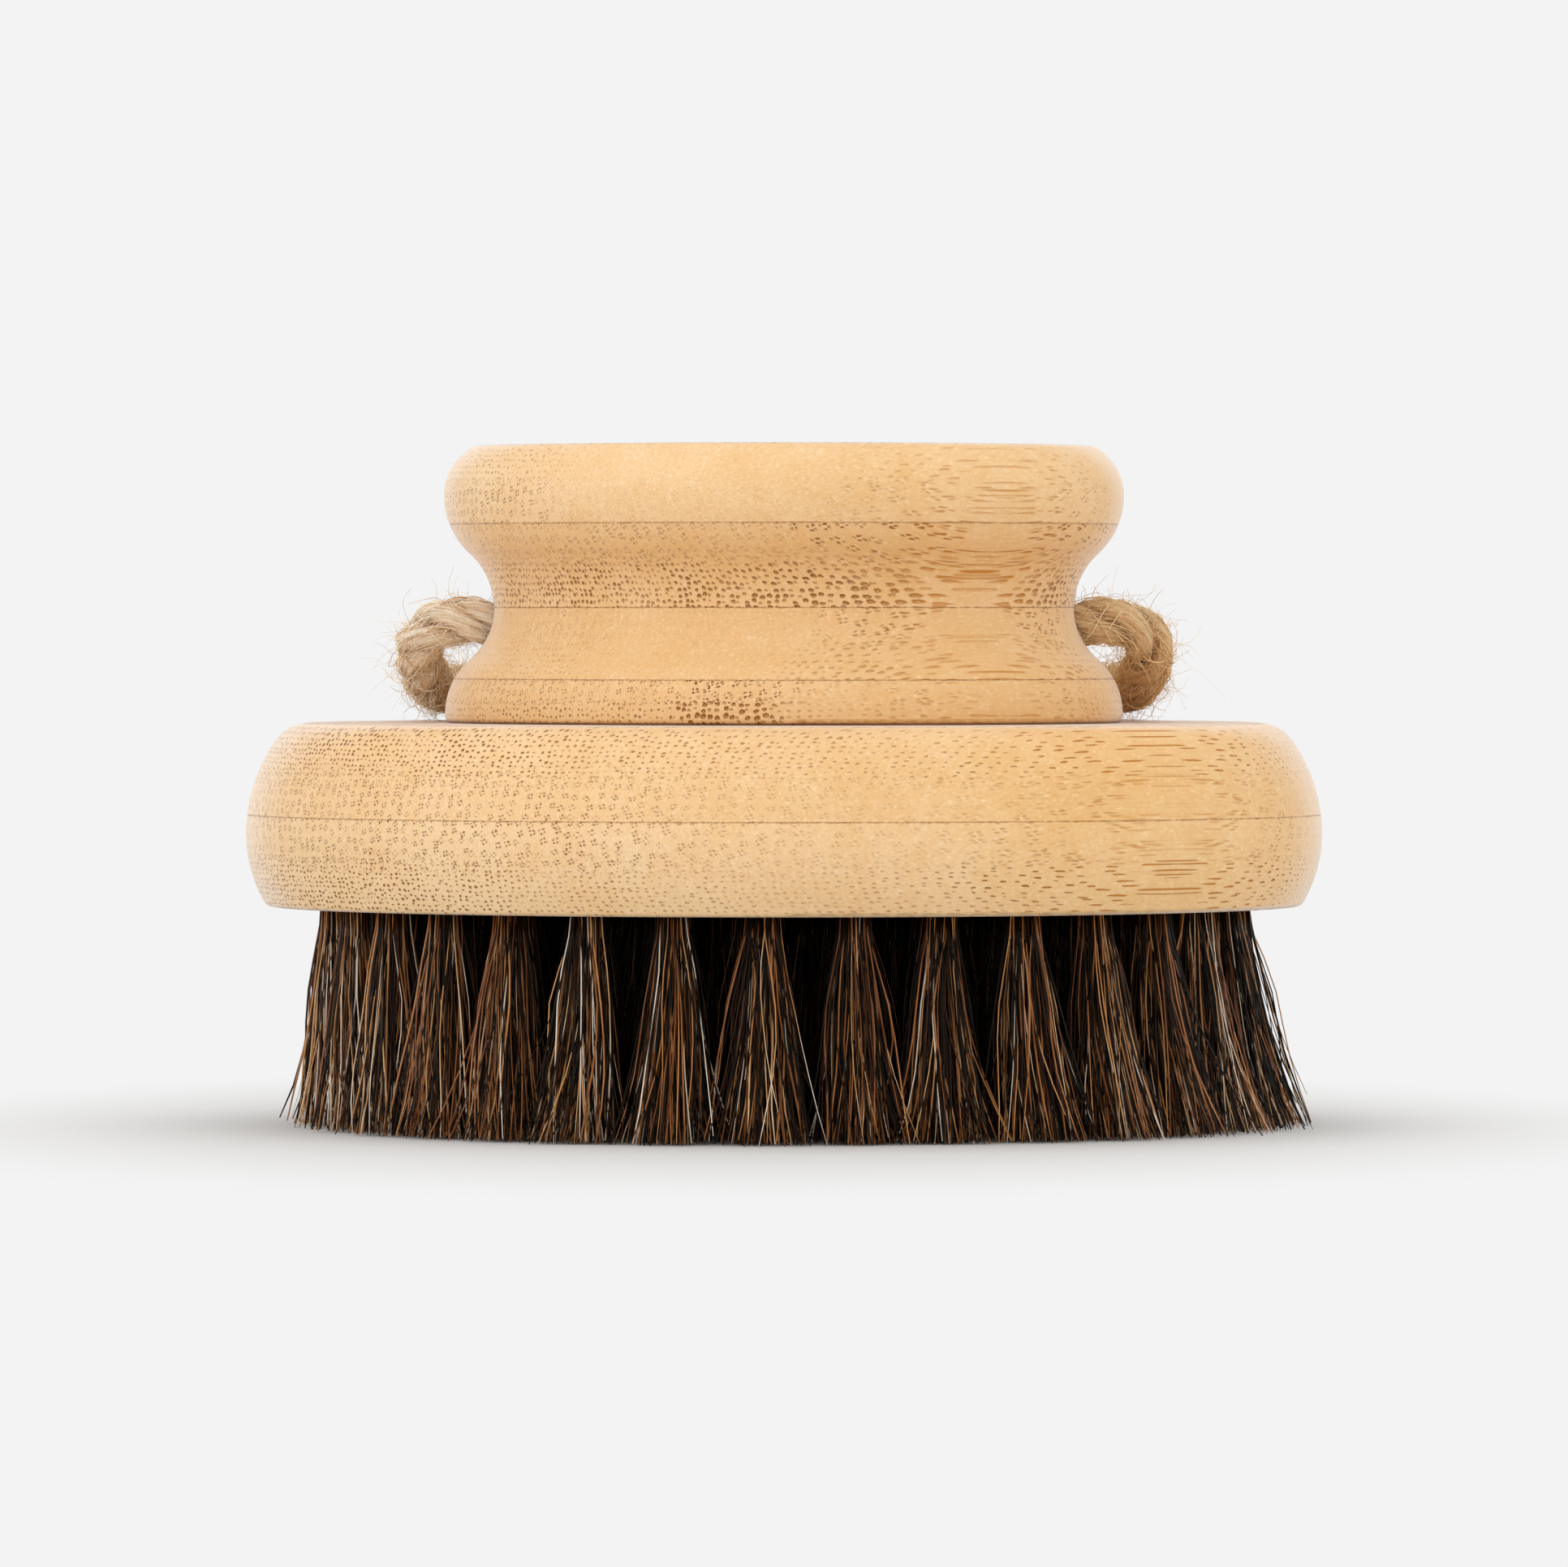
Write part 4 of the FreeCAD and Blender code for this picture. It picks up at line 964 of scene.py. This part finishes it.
def make_surface_fibres(random, strands, material):
    """Fibres that lie along the strands, each a little proud of the surface."""
    points = SURFACE_FIBRE_POINTS
    lines, radii, tones = [], [], []
    arch = np.sin(np.linspace(0, math.pi, points))
    for pick in picks_by_length(random, [centre for centre, _ in strands], SURFACE_FIBRES):
        centre, outward = strands[pick]
        reach = min(int(random.uniform(5, 15) / ROPE_STEP), len(centre) - 2)
        begin = random.integers(0, len(centre) - reach)
        piece = centre[begin : begin + reach]
        if inside_bore(piece).mean() > 0.6:
            continue
        turn = random.random() * 2 * math.pi - length_along(piece) / FIBRE_TWIST
        turn = evenly(turn[:, None], points)[:, 0] + np.linspace(0, random.normal(0, 0.5), points)
        lift = STRAND_RADIUS * 0.98 + (0.10 + np.abs(random.normal(0, 0.13))) * arch
        sideways, upward = sideways_along(piece)
        away = around(evenly(sideways, points), evenly(upward, points), turn)
        facing_out = (away * evenly(outward[begin : begin + reach], points)).sum(axis=1)
        if facing_out.mean() < -0.1:
            continue
        lines.append(evenly(piece, points) + lift[:, None] * away)
        radii.append(np.full(points, random.uniform(*SURFACE_FIBRE_RADIUS)))
        # Painted shade on fibres that lie in the grooves between strands.
        shade = GROOVE_PAINTED_SHADE * np.clip(0.55 - facing_out, 0, 1)
        tones.append(np.clip(random.normal(0.68, 0.20) - shade, 0, 1))
    return fibre_piece("hanging_cord_fibres", lines, radii, tones, material)


def make_crossing_fibres(random, paths, material):
    """Stray fibres that lie across the cord at any slant, a little off its surface."""
    points = CROSSING_FIBRE_POINTS
    lines, radii, tones = [], [], []
    arch = np.sin(np.linspace(0, math.pi, points))
    for pick in picks_by_length(random, paths, CROSSING_FIBRES):
        path = paths[pick]
        reach = min(int(random.uniform(2.2, 6.0) / ROPE_STEP), len(path) - 2)
        begin = random.integers(0, len(path) - reach)
        piece = path[begin : begin + reach]
        if inside_bore(piece).any():
            continue
        turn = random.random() * 2 * math.pi + np.linspace(0, random.normal(0, 1.2), points)
        lift = ROPE_RADIUS - 0.35 + random.uniform(0.1, 0.75) * arch
        sideways, upward = sideways_along(piece)
        away = around(evenly(sideways, points), evenly(upward, points), turn)
        lines.append(evenly(piece, points) + lift[:, None] * away)
        radii.append(np.full(points, random.uniform(*CROSSING_FIBRE_RADIUS)))
        tones.append(np.clip(random.normal(0.74, 0.36), 0, 1))
    lines = above_deck(np.array(lines))
    return fibre_piece("hanging_cord_stray_fibres", lines, radii, tones, material)


def make_fuzz(random, paths, material):
    """Loose fibre ends that stand off the cord and curl."""
    lines, radii, tones = [], [], []
    t = np.linspace(0, 1, FUZZ_POINTS)[:, None]
    for pick in picks_by_length(random, paths, FUZZ_FIBRES):
        path = paths[pick]
        at = random.integers(1, len(path) - 1)
        if inside_bore(path[at : at + 1])[0]:
            continue
        tangent = unit(path[at + 1] - path[at - 1])
        out = unit(np.cross(tangent, random.normal(0, 1, 3)))
        lean = unit(out * random.uniform(0.12, 0.65) + tangent * random.normal(0, 1.0))
        length = min(random.gamma(2.0, FUZZ_LENGTH / 2), FUZZ_LONGEST)
        if random.random() < LONG_SHARE:
            length = random.uniform(*LONG_LENGTH)
        curl = unit(unit(np.cross(lean, random.normal(0, 1, 3))) - 0.7 * out)
        curl *= random.uniform(0.4, 1.6)
        start = path[at] + out * (ROPE_RADIUS * random.uniform(0.72, 0.98))
        wave = np.cross(curl, lean) * 0.20 * np.sin(t * random.uniform(3, 7))
        lines.append(start + lean * length * t + curl * length * 0.95 * t**2 + wave * length)
        radii.append(random.uniform(*FUZZ_RADIUS) * np.linspace(1, 0.5, FUZZ_POINTS))
        tones.append(np.clip(random.normal(0.55, 0.25), 0, 1))
    lines = above_deck(np.array(lines))
    return fibre_piece("hanging_cord_fuzz", lines, radii, tones, material)


def make_cord():
    random = np.random.default_rng(CORD_SEED)
    paths = cord_paths()
    strand_jute = jute("jute_strands", STRAND_COLOURS)
    fibre_jute = jute("jute_fibres", FIBRE_COLOURS)
    strand_piece, strands = make_strands(random, paths, strand_jute)
    pieces = [
        strand_piece,
        make_surface_fibres(random, strands, fibre_jute),
        make_crossing_fibres(random, paths, fibre_jute),
        make_fuzz(random, paths, fibre_jute),
    ]
    for piece in pieces:
        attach(piece, "cord")
        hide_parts("hanging_cord")


# ---------------------------------------------------------------- hard pieces


def dress(node, material):
    """Gives a CAD node its material."""
    mesh = frame["nodes"][node].data
    mesh.materials.clear()
    mesh.materials.append(material)
    mesh.polygons.foreach_set("material_index", [0] * len(mesh.polygons))


def dress_hard_pieces():
    for number, ply in enumerate(PLIES, start=1):
        dress(ply.node, bamboo(ply, number))
    dress("knob_dowels", beech())
    wire = drawn_wire()
    for node in frame["nodes"]:
        if node.startswith("anchor"):
            dress(node, wire)


# ---------------------------------------------------------------- studio

PAPER_WHITE = 0.896
PAPER_TONES = [(0.3, (0.655, 0.655, 0.65)), (0.7, (0.67, 0.67, 0.665))]
GLOW_CENTRE_X = -2.5
GLOW_DEPTH = 0.60  # distances from front to back count by this much
GLOW_EDGE = (34.0, 95.0)  # the glow starts at the first distance and is full at the second
FLOOR_HALF = 4000.0
CAMERA_DISTANCE = 1200.0
CAMERA_HEIGHT = 47.8
CAMERA_PITCH_DEG = 0.762
LENS_MM = 296.3
SENSOR_WIDTH_MM = 36.0
CLIP_M = (0.05, 50.0)
LAMP_AIM = (0, 0, 35)

# Each softbox: name, place, width and height, watts, colour.
SOFTBOXES = [
    ("softbox_top", (-120, -160, 620), (700, 700), 0.99, (1.0, 0.98, 0.96)),
    ("softbox_front_left", (-560, -560, 300), (420, 420), 0.60, (1.0, 0.96, 0.95)),
    ("softbox_front_right", (560, -560, 220), (420, 420), 0.35, (1.0, 0.76, 0.45)),
    ("softbox_left_low", (-760, -200, 60), (260, 120), 0.34, (1.0, 0.98, 0.96)),
    ("softbox_front_low", (0, -950, 90), (900, 160), 1.12, (1.0, 0.95, 0.88)),
]


def make_floor():
    """Pale paper floor that fades to the backdrop's glowing white away from the brush."""
    half = FLOOR_HALF
    corners = [(-half, -half, 0), (half, -half, 0), (half, half, 0), (-half, half, 0)]
    shader = Shader("studio_paper")
    x, y, z = shader.object_mm()
    sideways = shader.plus(x, -GLOW_CENTRE_X)
    from_axis = length_2d(shader, sideways, shader.times(y, GLOW_DEPTH))
    grain = shader.noise(shader.combine(x, y, z), scale=0.4, detail=3.0)
    paper = shader.ramp(grain, PAPER_TONES)
    matte = shader.add("ShaderNodeBsdfDiffuse")
    shader.put(matte.inputs["Color"], paper)
    glow = shader.add("ShaderNodeEmission")
    shader.put(glow.inputs["Color"], (1, 1, 1, 1))
    shader.put(glow.inputs["Strength"], PAPER_WHITE)
    both = shader.add("ShaderNodeMixShader")
    shader.put(both.inputs[0], shader.fade(from_axis, *GLOW_EDGE))
    shader.put(both.inputs[1], matte.outputs[0])
    shader.put(both.inputs[2], glow.outputs[0])
    output = shader.add("ShaderNodeOutputMaterial")
    shader.put(output.inputs["Surface"], both.outputs[0])
    floor = new_piece("studio_floor", corners, [(0, 1, 2, 3)], shader.material, smooth=False)


def make_world():
    world = bpy.data.worlds.new("studio_white")
    world.use_nodes = True
    background = world.node_tree.nodes["Background"]
    background.inputs["Color"].default_value = (1, 1, 1, 1)
    background.inputs["Strength"].default_value = PAPER_WHITE
    bpy.context.scene.world = world


def softbox(name, place_mm, size_mm, watts, tint):
    """A rectangular lamp that points at the brush and isn't seen by the camera."""
    lamp = bpy.data.lights.new(name, "AREA")
    lamp.shape = "RECTANGLE"
    lamp.size, lamp.size_y = size_mm[0] * MM, size_mm[1] * MM
    lamp.energy = watts
    lamp.color = tint
    box = bpy.data.objects.new(name, lamp)
    box.location = Vector(place_mm) * MM
    aim = Vector(LAMP_AIM) * MM - box.location
    box.rotation_euler = aim.to_track_quat("-Z", "Y").to_euler()
    box.visible_camera = False
    bpy.context.scene.collection.objects.link(box)


def make_camera():
    lens = bpy.data.cameras.new("studio_camera")
    lens.lens = LENS_MM
    lens.sensor_width = SENSOR_WIDTH_MM
    lens.clip_start, lens.clip_end = CLIP_M
    camera = bpy.data.objects.new("studio_camera", lens)
    camera.location = (0, -CAMERA_DISTANCE * MM, CAMERA_HEIGHT * MM)
    camera.rotation_euler = (math.radians(90 - CAMERA_PITCH_DEG), 0, 0)
    bpy.context.scene.collection.objects.link(camera)
    bpy.context.scene.camera = camera


def make_studio():
    bpy.context.scene.view_settings.view_transform = "Standard"
    make_floor()
    make_world()
    for lamp in SOFTBOXES:
        softbox(*lamp)
    make_camera()


dress_hard_pieces()
make_brush_hair()
make_cord()
make_studio()
